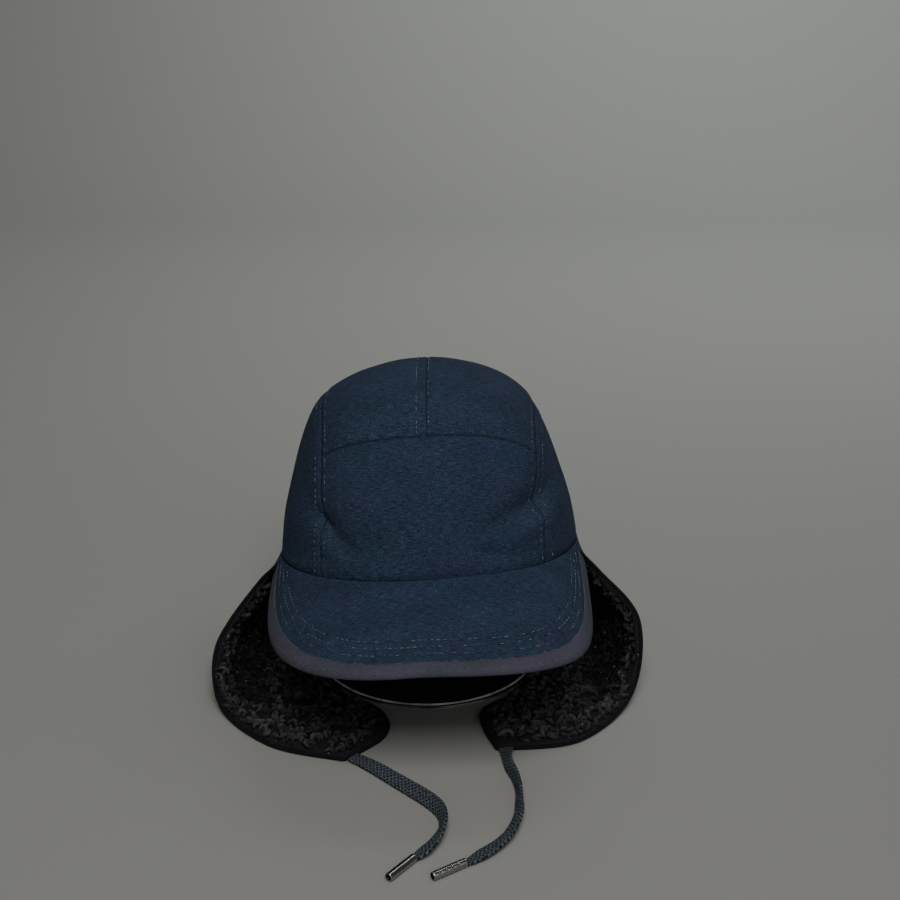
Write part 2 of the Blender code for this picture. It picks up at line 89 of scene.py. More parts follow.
FINE_FOLDS = (
    # azimuth (degrees), height share, half length, half width, slant (degrees), depth (below 0 a ridge)
    (-34.3, 0.272, 0.0065, 0.0026, -35.0, 0.0024),
    (-26.3, 0.172, 0.0110, 0.0042, -25.0, 0.0013),
    (-31.0, 0.150, 0.0150, 0.0055, -33.0, -0.0011),
    (41.0, 0.300, 0.0260, 0.0056, 13.0, 0.0032),
    (37.2, 0.200, 0.0280, 0.0064, 10.6, -0.0028),
    (21.0, 0.098, 0.0085, 0.0026, -18.0, 0.0013),
    (-70.0, 0.30, 0.030, 0.0070, 74.0, 0.0014),
    (74.0, 0.36, 0.030, 0.0080, -72.0, 0.0014),
    (120.0, 0.40, 0.034, 0.0090, 60.0, 0.0016),
    (-118.0, 0.34, 0.034, 0.0090, -58.0, 0.0016),
    (150.0, 0.25, 0.030, 0.0080, -20.0, 0.0012),
    (-158.0, 0.30, 0.030, 0.0080, 24.0, 0.0012),
)
PANEL_WALL = 0.0016
GAP = 0.0003
SEAM_DITCH = 0.0006
SEAM_WIDTH = 0.0009
SEAM_SLIT = 0.00002
SEAM_PUCKER = 0.00016
PUCKER_LENGTH = 0.0062
PUCKER_FADE = 0.0085
EDGE_CURL = 0.0011
EDGE_HANG = 0.0005
EDGE_HANG_FADE = math.radians(3.0)
EDGE_HEIGHT = 0.0017
TOP_ROLL = 0.0003
TOP_ROLL_PLACE = 0.003
SIDE_RADIUS = 0.085
SIDE_SEAM_RADIUS = 0.09
SIDE_SEAM_TURNS = (math.radians(30.0), math.radians(152.0))
UNEVENNESS = {
    # piece: height, length of its waves
    "front_panel": (0.00016, 0.045),
    "top_panel": (0.00018, 0.05),
    "side_panel": (0.00024, 0.06),
    "visor": (0.00018, 0.05),
    "flap": (0.0007, 0.05),
    "fleece": (0.0010, 0.012),
}

# Visor
VISOR_CORNER = math.radians(66.0)
VISOR_HALF_WIDTH = CROWN_HALF_WIDTH + 0.0010
VISOR_REACH = 0.0530
VISOR_SQUARENESS = 2.70
VISOR_RIGHT_SQUARENESS = 3.65
VISOR_SLOPE = math.radians(30.0)
VISOR_BOW = 0.0058
VISOR_WALL = 0.0020
VISOR_TUCK = 0.0020
VISOR_ROWS = (0.0104, 0.0150, 0.0192)
VISOR_ROW_DITCH = 0.0003
BINDING_FRONT_WIDTH = 0.0047
BINDING_SIDE_WIDTH = 0.0064
BINDING_WALL = 0.0007
TAPE_PUCKER = 0.00012
TAPE_PUCKER_LENGTH = 0.0030

# Ear flap band
FLAP_SHELL_WALL = 0.0012
FLEECE_WALL = 0.0050
FLEECE_TAPERS = (16.0, 26.0, 70.0)
SEAM_BLEND = 0.15
SEAM_DROP = 2 * GAP
FLAP_SECTIONS = (
    # azimuth, upper, widest, fold, floor, free edge
    (66.0, (1.14, -0.13, 0.050), (1.37, -0.38, 0.026), (1.32, -0.65, 0.0040),
     (0.95, -0.99, 0.0004), (0.48, -1.13, 0.0004)),
    (74.0, (1.12, -0.05, 0.046), (1.33, -0.27, 0.023), (1.27, -0.53, 0.0018),
     (0.83, -0.85, 0.0004), (0.25, -0.90, 0.0004)),
    (81.0, (1.09, 0.04, 0.043), (1.28, -0.14, 0.020), (1.22, -0.37, 0.0004),
     (0.84, -0.65, 0.0004), (0.29, -0.67, 0.0004)),
    (90.0, (1.06, 0.17, 0.041), (1.21, 0.06, 0.018), (1.16, -0.15, 0.0004),
     (0.88, -0.39, 0.0004), (0.57, -0.46, 0.0004)),
    (107.0, (1.02, 0.44, 0.037), (1.14, 0.41, 0.016), (1.09, 0.26, 0.0004),
     (0.95, 0.10, 0.0004), (0.80, 0.02, 0.0004)),
    (128.0, (0.89, 0.83, 0.033), (0.98, 0.85, 0.015), (0.93, 0.76, 0.0004),
     (0.83, 0.61, 0.0004), (0.75, 0.52, 0.0004)),
    (155.0, (0.46, 1.15, 0.030), (0.50, 1.21, 0.014), (0.47, 1.13, 0.0004),
     (0.41, 0.98, 0.0004), (0.38, 0.86, 0.0004)),
    (180.0, (0.00, 1.24, 0.030), (0.00, 1.30, 0.013), (0.00, 1.22, 0.0004),
     (0.00, 1.07, 0.0004), (0.00, 0.94, 0.0004)),
)
RIGHT_SHIFT = (
    # outward, backward, up, for the points of a section from upper to floor
    (0.0010, 0.0000, 0.0085),
    (0.0020, 0.0040, 0.0130),
    (0.0010, 0.0080, 0.0020),
    (0.0000, 0.0040, 0.0000),
)
RIGHT_EDGE_SHIFT = (
    # outward, backward, up
    (-0.0030, 0.0094, 0.0000),
    (0.0100, 0.0070, 0.0000),
    (0.0070, 0.0020, 0.0000),
    (0.0020, 0.0000, 0.0000),
)
FLAP_SIDES = (("left", -1.0), ("right", 1.0))
HEM_RADIUS = 0.0011
HEM_INSET = 0.0009
HEM_SMOOTHINGS = 2
CURL_RADIUS = 0.00125
CURL_LIFT = 0.0028
CURL_SINK = 0.0006
CURL_LOWEST = 0.0006
CURL_BENDS = (0.0013, 0.0030)
CURL_SWEEPS = (1.8, 4.4)
CURLS_PER_SIDE = 2250
# painted shade: share of brightness taken off the fleece where the band's inside lies in shadow
BAND_INSIDE_SHADE = 0.88
# painted shade: the backing between the curls keeps this share of the curls' brightness
BACKING_SHADED_LIGHT = 0.26

# Laces and their metal tips
LACE_WIDTH = 0.0074
LACE_THICKNESS = 0.0020
LACE_RIB = 0.0011
LACE_NARROWING = 0.52
LACE_SQUARENESS = 0.55
TIP_RADIUS = 0.0020
TIP_BORE = 0.0014
TIP_LENGTH = 0.0180
TIP_ROLL = 0.00035
TIP_DOTS = (0.0045, 0.0078, 0.0111, 0.0144)
TIP_DOT_RADIUS = 0.00055
TIP_DENT = 0.00035
TIP_SEAM = 0.00012
TIP_DOT_TURN = 1.15
TIP_SEAM_TURN = 4.2
LACE_PATHS = {
    # side: points of the middle line as x, y, turn of the flat side (degrees)
    "left": ((-0.0362, -0.1098, 0.0), (-0.0345, -0.1110, 2.0), (-0.0305, -0.1143, 6.0),
             (-0.0229, -0.1216, 16.0), (-0.0136, -0.1313, 24.0), (-0.0055, -0.1397, 32.0),
             (0.0033, -0.1494, 44.0), (0.0088, -0.1590, 62.0), (0.0096, -0.1690, 62.0),
             (0.0064, -0.1787, 36.0), (0.0015, -0.1860, 20.0), (-0.0029, -0.1905, 8.0)),
    "right": ((0.0412, -0.1030, 10.0), (0.0416, -0.1062, 26.0), (0.0415, -0.1100, 50.0),
              (0.0419, -0.1190, 68.0), (0.0448, -0.1300, 76.0), (0.0460, -0.1397, 76.0),
              (0.0457, -0.1518, 66.0), (0.0447, -0.1621, 50.0), (0.0405, -0.1735, 34.0),
              (0.0352, -0.1810, 22.0), (0.0282, -0.1875, 10.0), (0.0205, -0.1940, 4.0)),
}
TIP_TURN = {"left": math.radians(-128.0), "right": math.radians(-146.0)}

# Stand
BASE_RADIUS = 0.0625
BASE_THICKNESS = 0.0032

# Sewing thread
STITCH_LENGTH = 0.0021
STITCH_GAP = 0.0009
THREAD_RADIUS = 0.00016
THREAD_SWELL = (0.35, 0.95, 1.10, 0.95, 0.35)
MIDDLE_ROWS = ((-0.0053, 0.55), (0.0009, 0.50))
STRIP_ROWS = (-0.0028, 0.0028)
STRIP_TONE = 0.42
FRONT_ROWS = ((0.0012, 0.22), (0.0062, 0.14))
FRONT_ROW_LIFT = 0.00025
ROW_START = 0.012
ROW_END = 0.010
VISOR_TONE = 0.48
TAPE_ROW_INSET = 0.0009
TAPE_ROW_LIFT = 0.0012
TAPE_TONE = 0.34
FLAP_ROW_INSET = 0.0040
FLAP_TONE = 0.30

# Camera of the photograph
CAMERA_PLACE = (0.01285, -0.7130, 0.3988)
CAMERA_PITCH = math.radians(21.0)
CAMERA_FOCAL_PIXELS = 1400.0
PHOTO_PIXELS = 900.0


def smooth_rows(rows, count):
    """Cubic line through the rows, slopes from their neighbours, as count evenly spread rows."""
    rows = np.asarray(rows, float)
    place = np.linspace(0.0, len(rows) - 1.0, count)
    first = np.minimum(place.astype(int), len(rows) - 2)
    share = (place - first).reshape((-1,) + (1,) * (rows.ndim - 1))
    slope = np.gradient(rows, axis=0)
    cube, square = share ** 3, share ** 2
    return ((2 * cube - 3 * square + 1) * rows[first] + (cube - 2 * square + share) * slope[first]
            + (3 * square - 2 * cube) * rows[first + 1] + (cube - square) * slope[first + 1])


FINE_PROFILE = smooth_rows(CROWN_PROFILE, 73)
FINE_STRIP = smooth_rows(STRIP_HALF_WIDTH, 41)


def running_length(path):
    """Length along a path up to each of its points."""
    return np.concatenate(((0.0,), np.cumsum(np.linalg.norm(np.diff(path, axis=0), axis=1))))


def ring_angles(count):
    """Angles of evenly spread points round a ring."""
    return np.linspace(0.0, 2.0 * math.pi, count + 1)[:-1]


def unit(vectors):
    """Vectors divided by their length."""
    return vectors / np.maximum(np.linalg.norm(vectors, axis=-1, keepdims=True), 1e-12)


def strip_half_width(u):
    """Half width of the middle strip of panels at angle u over the crown."""
    return CROWN_HALF_WIDTH * np.interp(np.asarray(u) / math.pi, FINE_STRIP[:, 0], FINE_STRIP[:, 1])


def crown_height_at(x, y):
    """Height over the opening: a profile of the plan distance, blended from front or back to side."""
    plan = (np.abs(x / CROWN_HALF_WIDTH) ** CROWN_SQUARENESS
            + np.abs(y / CROWN_HALF_LENGTH) ** CROWN_SQUARENESS) ** (1.0 / CROWN_SQUARENESS)
    front, side, back = (np.interp(plan, FINE_PROFILE[:, 0], FINE_PROFILE[:, k]) for k in (1, 2, 3))
    along = y ** 2 / (x ** 2 + y ** 2 + 1e-12)
    share = along * np.where(y < 0.0, front, back) + (1.0 - along) * side
    return CROWN_HEIGHT * (share - SKIRT_FALL * np.maximum(plan - 1.0, 0.0))


def reach_along(direction, start):
    """Point where a ray from inside the crown meets its outside, by halving."""
    near = np.zeros(direction.shape[:-1])
    far = near + SEARCH_REACH
    for _ in range(HALVINGS):
        middle = 0.5 * (near + far)
        point = start + direction * middle[..., None]
        outside = point[..., 2] > crown_height_at(point[..., 0], point[..., 1])
        near, far = np.where(outside, near, middle), np.where(outside, middle, far)
    return start + direction * near[..., None]


def crown_normal(point):
    """Outward direction of the crown, from the slopes of its height."""
    step = 0.0006
    x, y = point[..., 0], point[..., 1]
    slope_x = (crown_height_at(x + step, y) - crown_height_at(x - step, y)) / (2 * step)
    slope_y = (crown_height_at(x, y + step) - crown_height_at(x, y - step)) / (2 * step)
    return unit(np.stack((-slope_x, -slope_y, np.ones_like(slope_x)), -1))


def fold_depth(point, folds):
    """Sum of soft grooves: each a Gaussian along and across its slanted line."""
    azimuth = np.arctan2(point[..., 0], -point[..., 1])
    depth = np.zeros_like(azimuth)
    for degrees, height, half_length, half_width, slant, deep in folds:
        across = (azimuth - math.radians(degrees)) * CROWN_HALF_LENGTH
        up = point[..., 2] - height * CROWN_HEIGHT
        turn = math.radians(slant)
        along = across * math.cos(turn) + up * math.sin(turn)
        side = up * math.cos(turn) - across * math.sin(turn)
        depth += deep * np.exp(-(along / half_length) ** 2 - (side / half_width) ** 2)
    return depth


def strip_point(x, u):
    """Crown point at lateral place x and angle u over its top, 0 at the front edge."""
    x, u = np.broadcast_arrays(x, u)
    zero = np.zeros_like(x, dtype=float)
    return reach_along(np.stack((zero, -np.cos(u), np.sin(u)), -1), np.stack((x, zero, zero), -1))


def ring_point(azimuth, height):
    """Crown point at an azimuth and a height over the opening."""
    azimuth, height = np.broadcast_arrays(azimuth, height)
    zero = np.zeros_like(azimuth, dtype=float)
    direction = np.stack((np.sin(azimuth), -np.cos(azimuth), zero), -1)
    return reach_along(direction, np.stack((zero, zero, height), -1))


def cap_axes():
    """The cap's own axes as columns: tilted back, then rolled."""
    tilt_c, tilt_s = math.cos(CAP_TILT), math.sin(CAP_TILT)
    roll_c, roll_s = math.cos(CAP_ROLL), math.sin(CAP_ROLL)
    roll = np.array(((roll_c, 0.0, roll_s), (0.0, 1.0, 0.0), (-roll_s, 0.0, roll_c)))
    tilt = np.array(((1.0, 0.0, 0.0), (0.0, tilt_c, tilt_s), (0.0, -tilt_s, tilt_c)))
    return roll @ tilt


CAP_AXES = cap_axes()


def to_table(point):
    """Points from the cap's own frame to the part's frame."""
    return point @ CAP_AXES.T + np.array(CAP_CENTRE)


def uneven(place, seed, kind, waves=7):
    """Smooth uneven height of a piece over its UV or plan: a sum of plane waves in seeded directions."""
    height, size = UNEVENNESS[kind]
    u, v = place[..., 0], place[..., 1]
    rng = np.random.default_rng(seed)
    total = np.zeros(u.shape)
    for _ in range(waves):
        angle, phase = rng.uniform(0.0, 2.0 * math.pi, 2)
        length = size * rng.uniform(0.6, 1.6)
        total += np.sin((u * math.cos(angle) + v * math.sin(angle)) * 2.0 * math.pi / length + phase)
    return height * (total / math.sqrt(waves))


def grid_faces(rows, columns, first=0, flip=False):
    """Quads of a grid of points, as an array of four indices each."""
    i, j = np.meshgrid(np.arange(rows - 1), np.arange(columns - 1), indexing="ij")
    a = first + i * columns + j
    quads = np.stack((a, a + 1, a + columns + 1, a + columns), -1).reshape(-1, 4)
    return quads[:, ::-1] if flip else quads


def tube_quads(along, around):
    """Quads between the rings of a tube."""
    ring, place = np.meshgrid(np.arange(along - 1) * around, np.arange(around), indexing="ij")
    a, b = ring + place, ring + (place + 1) % around
    return np.stack((a, b, b + around, a + around), -1).reshape(-1, 4)


def closed_threads(rings):
    """Points and quads of many short tubes with rings of six points, closed by two quads at both ends."""
    count, along, around = rings.shape[:3]
    last = (along - 1) * around
    caps = np.array(((3, 2, 1, 0), (5, 4, 3, 0), (last, last + 1, last + 2, last + 3),
                     (last, last + 3, last + 4, last + 5)))
    one = np.concatenate((tube_quads(along, around), caps))
    quads = (one[None] + (np.arange(count) * along * around)[:, None, None]).reshape(-1, 4)
    return rings.reshape(-1, 3), quads


def rim_indices(rows, columns):
    """Indices round the border of a grid."""
    top = np.arange(columns)
    right = np.arange(1, rows) * columns + columns - 1
    bottom = (rows - 1) * columns + np.arange(columns - 2, -1, -1)
    left = np.arange(rows - 2, 0, -1) * columns
    return np.concatenate((top, right, bottom, left))


def mesh_object(name, points, quads, uv=None):
    """Blender object from point and quad arrays, with an optional UV pair for each point."""
    mesh = bpy.data.meshes.new(name)
    points = np.ascontiguousarray(points, np.float32)
    quads = np.ascontiguousarray(quads, np.int32)
    mesh.vertices.add(len(points))
    mesh.vertices.foreach_set("co", points.ravel())
    mesh.loops.add(quads.size)
    mesh.loops.foreach_set("vertex_index", quads.ravel())
    mesh.polygons.add(len(quads))
    mesh.polygons.foreach_set("loop_start", np.arange(len(quads), dtype=np.int32) * 4)
    mesh.update(calc_edges=True)
    mesh.polygons.foreach_set("use_smooth", np.full(len(quads), True))
    if uv is not None:
        layer = mesh.uv_layers.new(name="cloth")
        layer.data.foreach_set("uv", np.ascontiguousarray(uv[quads.ravel()], np.float32).ravel())
    obj = bpy.data.objects.new(name, mesh)
    bpy.context.scene.collection.objects.link(obj)
    return obj


def signed_volume(points, quads):
    """Six times the volume inside closed quads, negative when they point inward."""
    a, b, c, d = (points[quads[:, k]] for k in range(4))
    return float((np.einsum("ij,ij->i", a, np.cross(b, c)) + np.einsum("ij,ij->i", a, np.cross(c, d))).sum())


def wall_arrays(outer, inner, uv):
    """Closed wall between two equal grids: both skins and the rim between them."""
    rows, columns = outer.shape[:2]
    count = rows * columns
    points = np.concatenate((outer.reshape(-1, 3), inner.reshape(-1, 3)))
    rim = rim_indices(rows, columns)
    after = np.roll(rim, -1)
    side = np.stack((after, rim, rim + count, after + count), -1)
    quads = np.concatenate((grid_faces(rows, columns), grid_faces(rows, columns, count, True), side))
    if signed_volume(points, quads) < 0.0:
        quads = quads[:, ::-1]
    flat = uv.reshape(-1, 2)
    return points, quads, np.concatenate((flat, flat))


def finish_piece(obj, material, slot, *nodes):
    """Give a piece its material, let it ride on the part, and let it stand for CAD nodes; the slot is not
    used.
    """
    obj.data.materials.append(material)
    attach(obj, "root")
    if nodes:
        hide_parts(*nodes)
    return obj


def grid_uv(grid, start=0.0):
    """UV in metres: mean running lengths across and down a grid of points."""
    across = np.linalg.norm(np.diff(grid, axis=1), axis=-1).mean(0)
    down = np.linalg.norm(np.diff(grid, axis=0), axis=-1).mean(1)
    u = np.concatenate(((0.0,), np.cumsum(across))) - across.sum() / 2 + start
    v = np.concatenate(((0.0,), np.cumsum(down)))
    return np.stack(np.broadcast_arrays(u[None, :], v[:, None]), -1)


# Materials


class Finish:
    """Node material with its Principled shader, and short ways to add and link nodes."""

    def __init__(self, name):
        self.material = bpy.data.materials.new(name)
        self.material.use_nodes = True
        self.tree = self.material.node_tree
        self.shader = self.tree.nodes["Principled BSDF"]

    def put(self, socket, value):
        """Link a value to a socket, or set it there when it is a constant."""
        if isinstance(value, bpy.types.NodeSocket):
            self.tree.links.new(value, socket)
        else:
            socket.default_value = value

    def surface(self, values):
        """Values for the Principled shader, by the names of its sockets."""
        for name, value in values.items():
            self.put(self.shader.inputs[name], value)
        return self.material

    def add(self, kind, inputs=(), **settings):
        """New node with its settings and inputs."""
        node = self.tree.nodes.new(kind)
        for name, value in settings.items():
            setattr(node, name, value)
        for key, value in dict(inputs).items():
            self.put(node.inputs[key], value)
        return node

    def uv(self):
        """The piece's own UV map."""
        return self.add("ShaderNodeUVMap", uv_map="cloth").outputs["UV"]

    def place(self):
        """Place on the part, in metres."""
        return self.add("ShaderNodeTexCoord").outputs["Object"]

    def part(self, vector, axis):
        """One coordinate of a vector."""
        return self.add("ShaderNodeSeparateXYZ", {0: vector}).outputs[axis]

    def calc(self, operation, first, second=0.0, clamp=False):
        """Result of a math node."""
        node = self.add("ShaderNodeMath", {0: first, 1: second}, operation=operation, use_clamp=clamp)
        return node.outputs[0]

    def weighted(self, *pairs):
        """Sum of values, each times its weight."""
        total, *others = [self.calc("MULTIPLY", value, weight) for value, weight in pairs]
        for other in others:
            total = self.calc("ADD", total, other)
        return total

    def mix(self, share, first, second, blend="MIX"):
        """Colour between two colours: the mix node's sockets 0, 6 and 7 are its factor and its colours."""
        first, second = (value if isinstance(value, bpy.types.NodeSocket) else (*value, 1.0)
                         for value in (first, second))
        node = self.add("ShaderNodeMix", {0: share, 6: first, 7: second}, data_type="RGBA", blend_type=blend)
        return node.outputs[2]

    def noise(self, place, scale, detail=2.0):
        """Noise on a place."""
        return self.add("ShaderNodeTexNoise", {"Vector": place, "Scale": scale, "Detail": detail}).outputs[0]

    def drawn_noise(self, uv, across, along, detail=2.0):
        """Noise drawn out along the cloth: cells of across by along metres on the UV map."""
        drawn = self.add("ShaderNodeMapping", {"Vector": uv, "Scale": (1.0 / across, 1.0 / along, 1.0)})
        return self.noise(drawn.outputs[0], 1.0, detail)

    def spread(self, value, low, high, to_low=0.0, to_high=1.0):
        """Value mapped from one range to another and held there."""
        ranges = {"Value": value, "From Min": low, "From Max": high, "To Min": to_low, "To Max": to_high}
        return self.add("ShaderNodeMapRange", ranges).outputs[0]

    def bump(self, height, strength, distance):
        """Small relief of the surface."""
        node = self.add("ShaderNodeBump", {"Height": height, "Strength": strength, "Distance": distance})
        self.put(self.shader.inputs["Normal"], node.outputs[0])


def canvas_finish(name, dark, pale, thread=0.00042, roughness=0.88, slubs=1.0):
    """Heathered plain weave: crossing drawn out noise for its yarns, pale slubs, violet and teal patches."""
    cloth = Finish(name)
    uv = cloth.uv()
    weft = cloth.drawn_noise(uv, 9.0 * thread, 0.9 * thread)
    warp = cloth.drawn_noise(uv, thread, 3.4 * thread)
    grain = cloth.drawn_noise(uv, 0.8 * thread, 0.8 * thread, 1.0)
    level_slub = cloth.drawn_noise(uv, 0.0048, 1.1 * thread, 1.0)
    upright_slub = cloth.drawn_noise(uv, 1.1 * thread, 0.0030, 1.0)
    speck = cloth.drawn_noise(uv, 1.7 * thread, 1.4 * thread, 0.0)
    broad = cloth.drawn_noise(uv, 0.030, 0.016, 3.0)
    hue = cloth.drawn_noise(uv, 0.034, 0.026)
    yarns = cloth.weighted((weft, 0.40), (warp, 0.30), (grain, 0.30))
    slub = cloth.spread(cloth.calc("MAXIMUM", level_slub, upright_slub), 0.64, 0.76, 0.0, 0.60)
    streak = cloth.calc("MAXIMUM", slub, cloth.spread(speck, 0.74, 0.82, 0.0, 0.95))
    streak = cloth.calc("MULTIPLY", streak, slubs)
    fleck = cloth.calc("MULTIPLY", cloth.spread(yarns, 0.42, 0.61), 0.54)
    colour = cloth.mix(cloth.calc("ADD", fleck, streak, True), dark, pale)
    tint = cloth.mix(cloth.spread(hue, 0.38, 0.62), (1.07, 0.965, 1.03), (0.92, 1.035, 0.99))
    colour = cloth.mix(1.0, colour, tint, "MULTIPLY")
    wear_patches_and_rim_highlight = cloth.mix(1.0, colour, cloth.spread(broad, 0.3, 0.7, 0.84, 1.16), "MULTIPLY")
    rough = cloth.spread(yarns, 0.35, 0.65, roughness - 0.06, roughness + 0.06)
    cloth.bump(cloth.weighted((yarns, 1.0), (streak, 0.3)), 0.8, 0.0005)
    return cloth.surface({"Base Color": wear_patches_and_rim_highlight, "Roughness": rough, "Specular IOR Level": 0.08})


def fleece_finish():
    """Black curly wool: the UV gives each curl its own tone and a painted light share, with painted shade in
    the gaps between curls.
    """
    wool = Finish("black_curly_fleece")
    uv, place = wool.uv(), wool.place()
    fibre = wool.noise(place, 2600.0)
    lint = wool.noise(place, 900.0, 0.0)
    tone = wool.mix(wool.part(uv, "X"), (0.0290, 0.0258, 0.0246), (0.0800, 0.0773, 0.0762))
    lit = wool.calc("MULTIPLY", wool.part(uv, "Y"), wool.spread(fibre, 0.3, 0.7, 0.6, 1.3))
    # painted shade: near black where the UV's painted light share is low
    colour = wool.mix(lit, (0.0010, 0.0010, 0.0011), tone)
    colour = wool.mix(wool.spread(lint, 0.80, 0.84), colour, (0.16, 0.16, 0.15))
    wool.bump(fibre, 0.6, 0.0003)
    rough = wool.spread(fibre, 0.0, 1.0, 0.70, 0.95)
    return wool.surface({"Base Color": colour, "Roughness": rough, "Specular IOR Level": 0.07})


def thread_finish():
    """Blue sewing thread: the UV gives each stitch its own tone, over a fine twist."""
    thread = Finish("pale_blue_thread")
    twist = thread.noise(thread.place(), 2200.0, 1.0)
    tone = thread.part(thread.uv(), "X")
    share = thread.calc("MULTIPLY", tone, thread.spread(twist, 0.3, 0.7, 0.6, 1.3), True)
    colour = thread.mix(share, (0.006, 0.012, 0.021), (0.200, 0.235, 0.270))
    return thread.surface({"Base Color": colour, "Roughness": 0.70, "Specular IOR Level": 0.2})


def lace_finish():
    """Flat woven lace: two crossing diagonals of pale yarn over dark on the lace's UV, broken by flecks."""
    lace = Finish("flat_woven_lace")
    uv = lace.uv()
    along = lace.calc("MULTIPLY", lace.part(uv, "Y"), 2.0 * math.pi / 0.0026)
    across = lace.calc("MULTIPLY", lace.part(uv, "X"), 2.0 * math.pi / 0.0025)
    rising = lace.calc("SINE", lace.calc("ADD", along, across))
    falling = lace.calc("SINE", lace.calc("SUBTRACT", along, across))
    weave = lace.calc("MAXIMUM", rising, falling)
    lift = lace.weighted((weave, 0.13), (lace.noise(uv, 1300.0), 1.0))
    colour = lace.mix(lace.spread(lift, 0.46, 0.74), (0.0035, 0.0065, 0.0100), (0.090, 0.112, 0.130))
    lace.bump(weave, 0.8, 0.0004)
    return lace.surface({"Base Color": colour, "Roughness": 0.85, "Specular IOR Level": 0.15})


def nickel_finish():
    """Dark nickel with faint uneven marks, and painted shade: black inside the tube, where the UV runs below
    zero.
    """
    nickel = Finish("dark_nickel")
    marks = nickel.noise(nickel.place(), 700.0, 3.0)
    metal = nickel.mix(marks, (0.26, 0.255, 0.25), (0.40, 0.39, 0.38))
    # painted shade inside the tube's bore
    outside = nickel.spread(nickel.part(nickel.uv(), "Y"), -0.0004, 0.0)
    colour = nickel.mix(outside, (0.006, 0.006, 0.006), metal)
    rough = nickel.spread(marks, 0.3, 0.7, 0.12, 0.24)
    return nickel.surface({"Base Color": colour, "Roughness": rough, "Metallic": 1.0})


def lacquer_finish():
    """Glossy black lacquer with faint dust, and a painted highlight: pale lines along the two edges of the
    foot's rim.
    """
    lacquer = Finish("black_stand_lacquer")
    place = lacquer.place()
    marks = lacquer.noise(place, 120.0, 5.0)
    level = lacquer.add("ShaderNodeVectorMath", {0: place, 1: (1.0, 1.0, 0.0)}, operation="MULTIPLY")
    radius = lacquer.add("ShaderNodeVectorMath", {0: level.outputs[0]}, operation="LENGTH").outputs["Value"]
    middle = 0.5 * BASE_THICKNESS
    off_middle = lacquer.calc("ABSOLUTE", lacquer.calc("SUBTRACT", lacquer.part(place, "Z"), middle))
    # painted highlight: pale lines where the rim's two rounded edges catch the light
    wear_patches_and_rim_highlight = lacquer.calc("MULTIPLY", lacquer.spread(radius, BASE_RADIUS - 0.0011, BASE_RADIUS - 0.0007),
                        lacquer.spread(off_middle, 0.62 * middle, 0.75 * middle))
    wear_patches_and_rim_highlight = lacquer.calc("MULTIPLY", wear_patches_and_rim_highlight, lacquer.spread(marks, 0.35, 0.55, 0.35, 1.0))
    black = lacquer.mix(marks, (0.0055, 0.0070, 0.0085), (0.0110, 0.0120, 0.0135))
    colour = lacquer.mix(wear_patches_and_rim_highlight, black, (0.85, 0.85, 0.82))
    rough = lacquer.spread(marks, 0.35, 0.75, 0.14, 0.32)
    return lacquer.surface({"Base Color": colour, "Roughness": rough,
                            "Coat Weight": 0.5, "Coat Roughness": 0.08})


NAVY = canvas_finish("navy_slub_canvas", (0.0040, 0.0090, 0.0190), (0.044, 0.080, 0.136))
TAPE = canvas_finish("grey_violet_binding", (0.031, 0.0325, 0.046), (0.104, 0.106, 0.138),
                     thread=0.00026, roughness=0.80, slubs=0.25)
HEM = canvas_finish("black_hem_cloth", (0.0018, 0.0022, 0.0030), (0.008, 0.010, 0.013),
                    thread=0.00026, roughness=0.90, slubs=0.25)
FLEECE = fleece_finish()
THREAD = thread_finish()
LACE = lace_finish()
NICKEL = nickel_finish()
LACQUER = lacquer_finish()


# Stitching


class Sewing:
    """Collects stitches of one piece of sewing and turns them into one mesh."""

    def __init__(self, seed):
        self.parts = []
        self.tones = []
        self.random = np.random.default_rng(seed)

    def add_row(self, path, normal, tone=0.5, sink=0.35):
        """Stitches along a fine path: six sided threads, low at both ends, raised between, of uneven tone."""
        run = running_length(path)
        pitch = STITCH_LENGTH + STITCH_GAP
        count = int(run[-1] / pitch)
        if count < 1:
            return
        starts = np.arange(count) * pitch + 0.5 * (run[-1] - count * pitch)
        self.tones.append(tone * 2.0 * self.random.random(count) ** 1.5)
        share = np.linspace(0.0, 1.0, len(THREAD_SWELL))
        place = starts[:, None] + share[None, :] * STITCH_LENGTH
        centre = np.stack([np.interp(place, run, path[:, k]) for k in range(3)], -1)
        up = unit(np.stack([np.interp(place, run, normal[:, k]) for k in range(3)], -1))
        ahead = unit(np.gradient(centre, axis=1))
        side = unit(np.cross(up, ahead))
        lift = THREAD_RADIUS * (1.6 * np.sin(share * math.pi) - sink)
        centre = centre + up * lift[None, :, None]
        width = THREAD_RADIUS * np.array(THREAD_SWELL)
        angle = ring_angles(6)
        ring = (np.cos(angle)[:, None] * side[:, :, None, :] + np.sin(angle)[:, None] * up[:, :, None, :])
        self.parts.append(centre[:, :, None, :] + ring * width[None, :, None, None])

    def build(self, name):
        """One mesh with all the stitches: five rings of six points each, closed at both ends."""
        rings = np.concatenate(self.parts)
        points, quads = closed_threads(rings)
        if signed_volume(points, quads) < 0.0:
            quads = quads[:, ::-1]
        tone = np.repeat(np.concatenate(self.tones), rings.shape[1] * rings.shape[2])
        return mesh_object(name, points, quads, np.stack((tone, np.zeros_like(tone)), -1))


# Crown


def seam_relief(distance, along, phase):
    """Height near a seam: a rounded edge that dips into the seam, with puckers that fade away from it."""
    dip = -SEAM_DITCH * np.exp(-(distance / SEAM_WIDTH) ** 2)
    waves = np.cos(2.0 * math.pi * along / PUCKER_LENGTH + phase)
    return dip + SEAM_PUCKER * waves * np.exp(-distance / PUCKER_FADE)


def folded(point):
    """Crown points with the folds pressed in, and the crown's normals there."""
    normal = crown_normal(point)
    return point - normal * fold_depth(point, CROWN_FOLDS + FINE_FOLDS)[..., None], normal


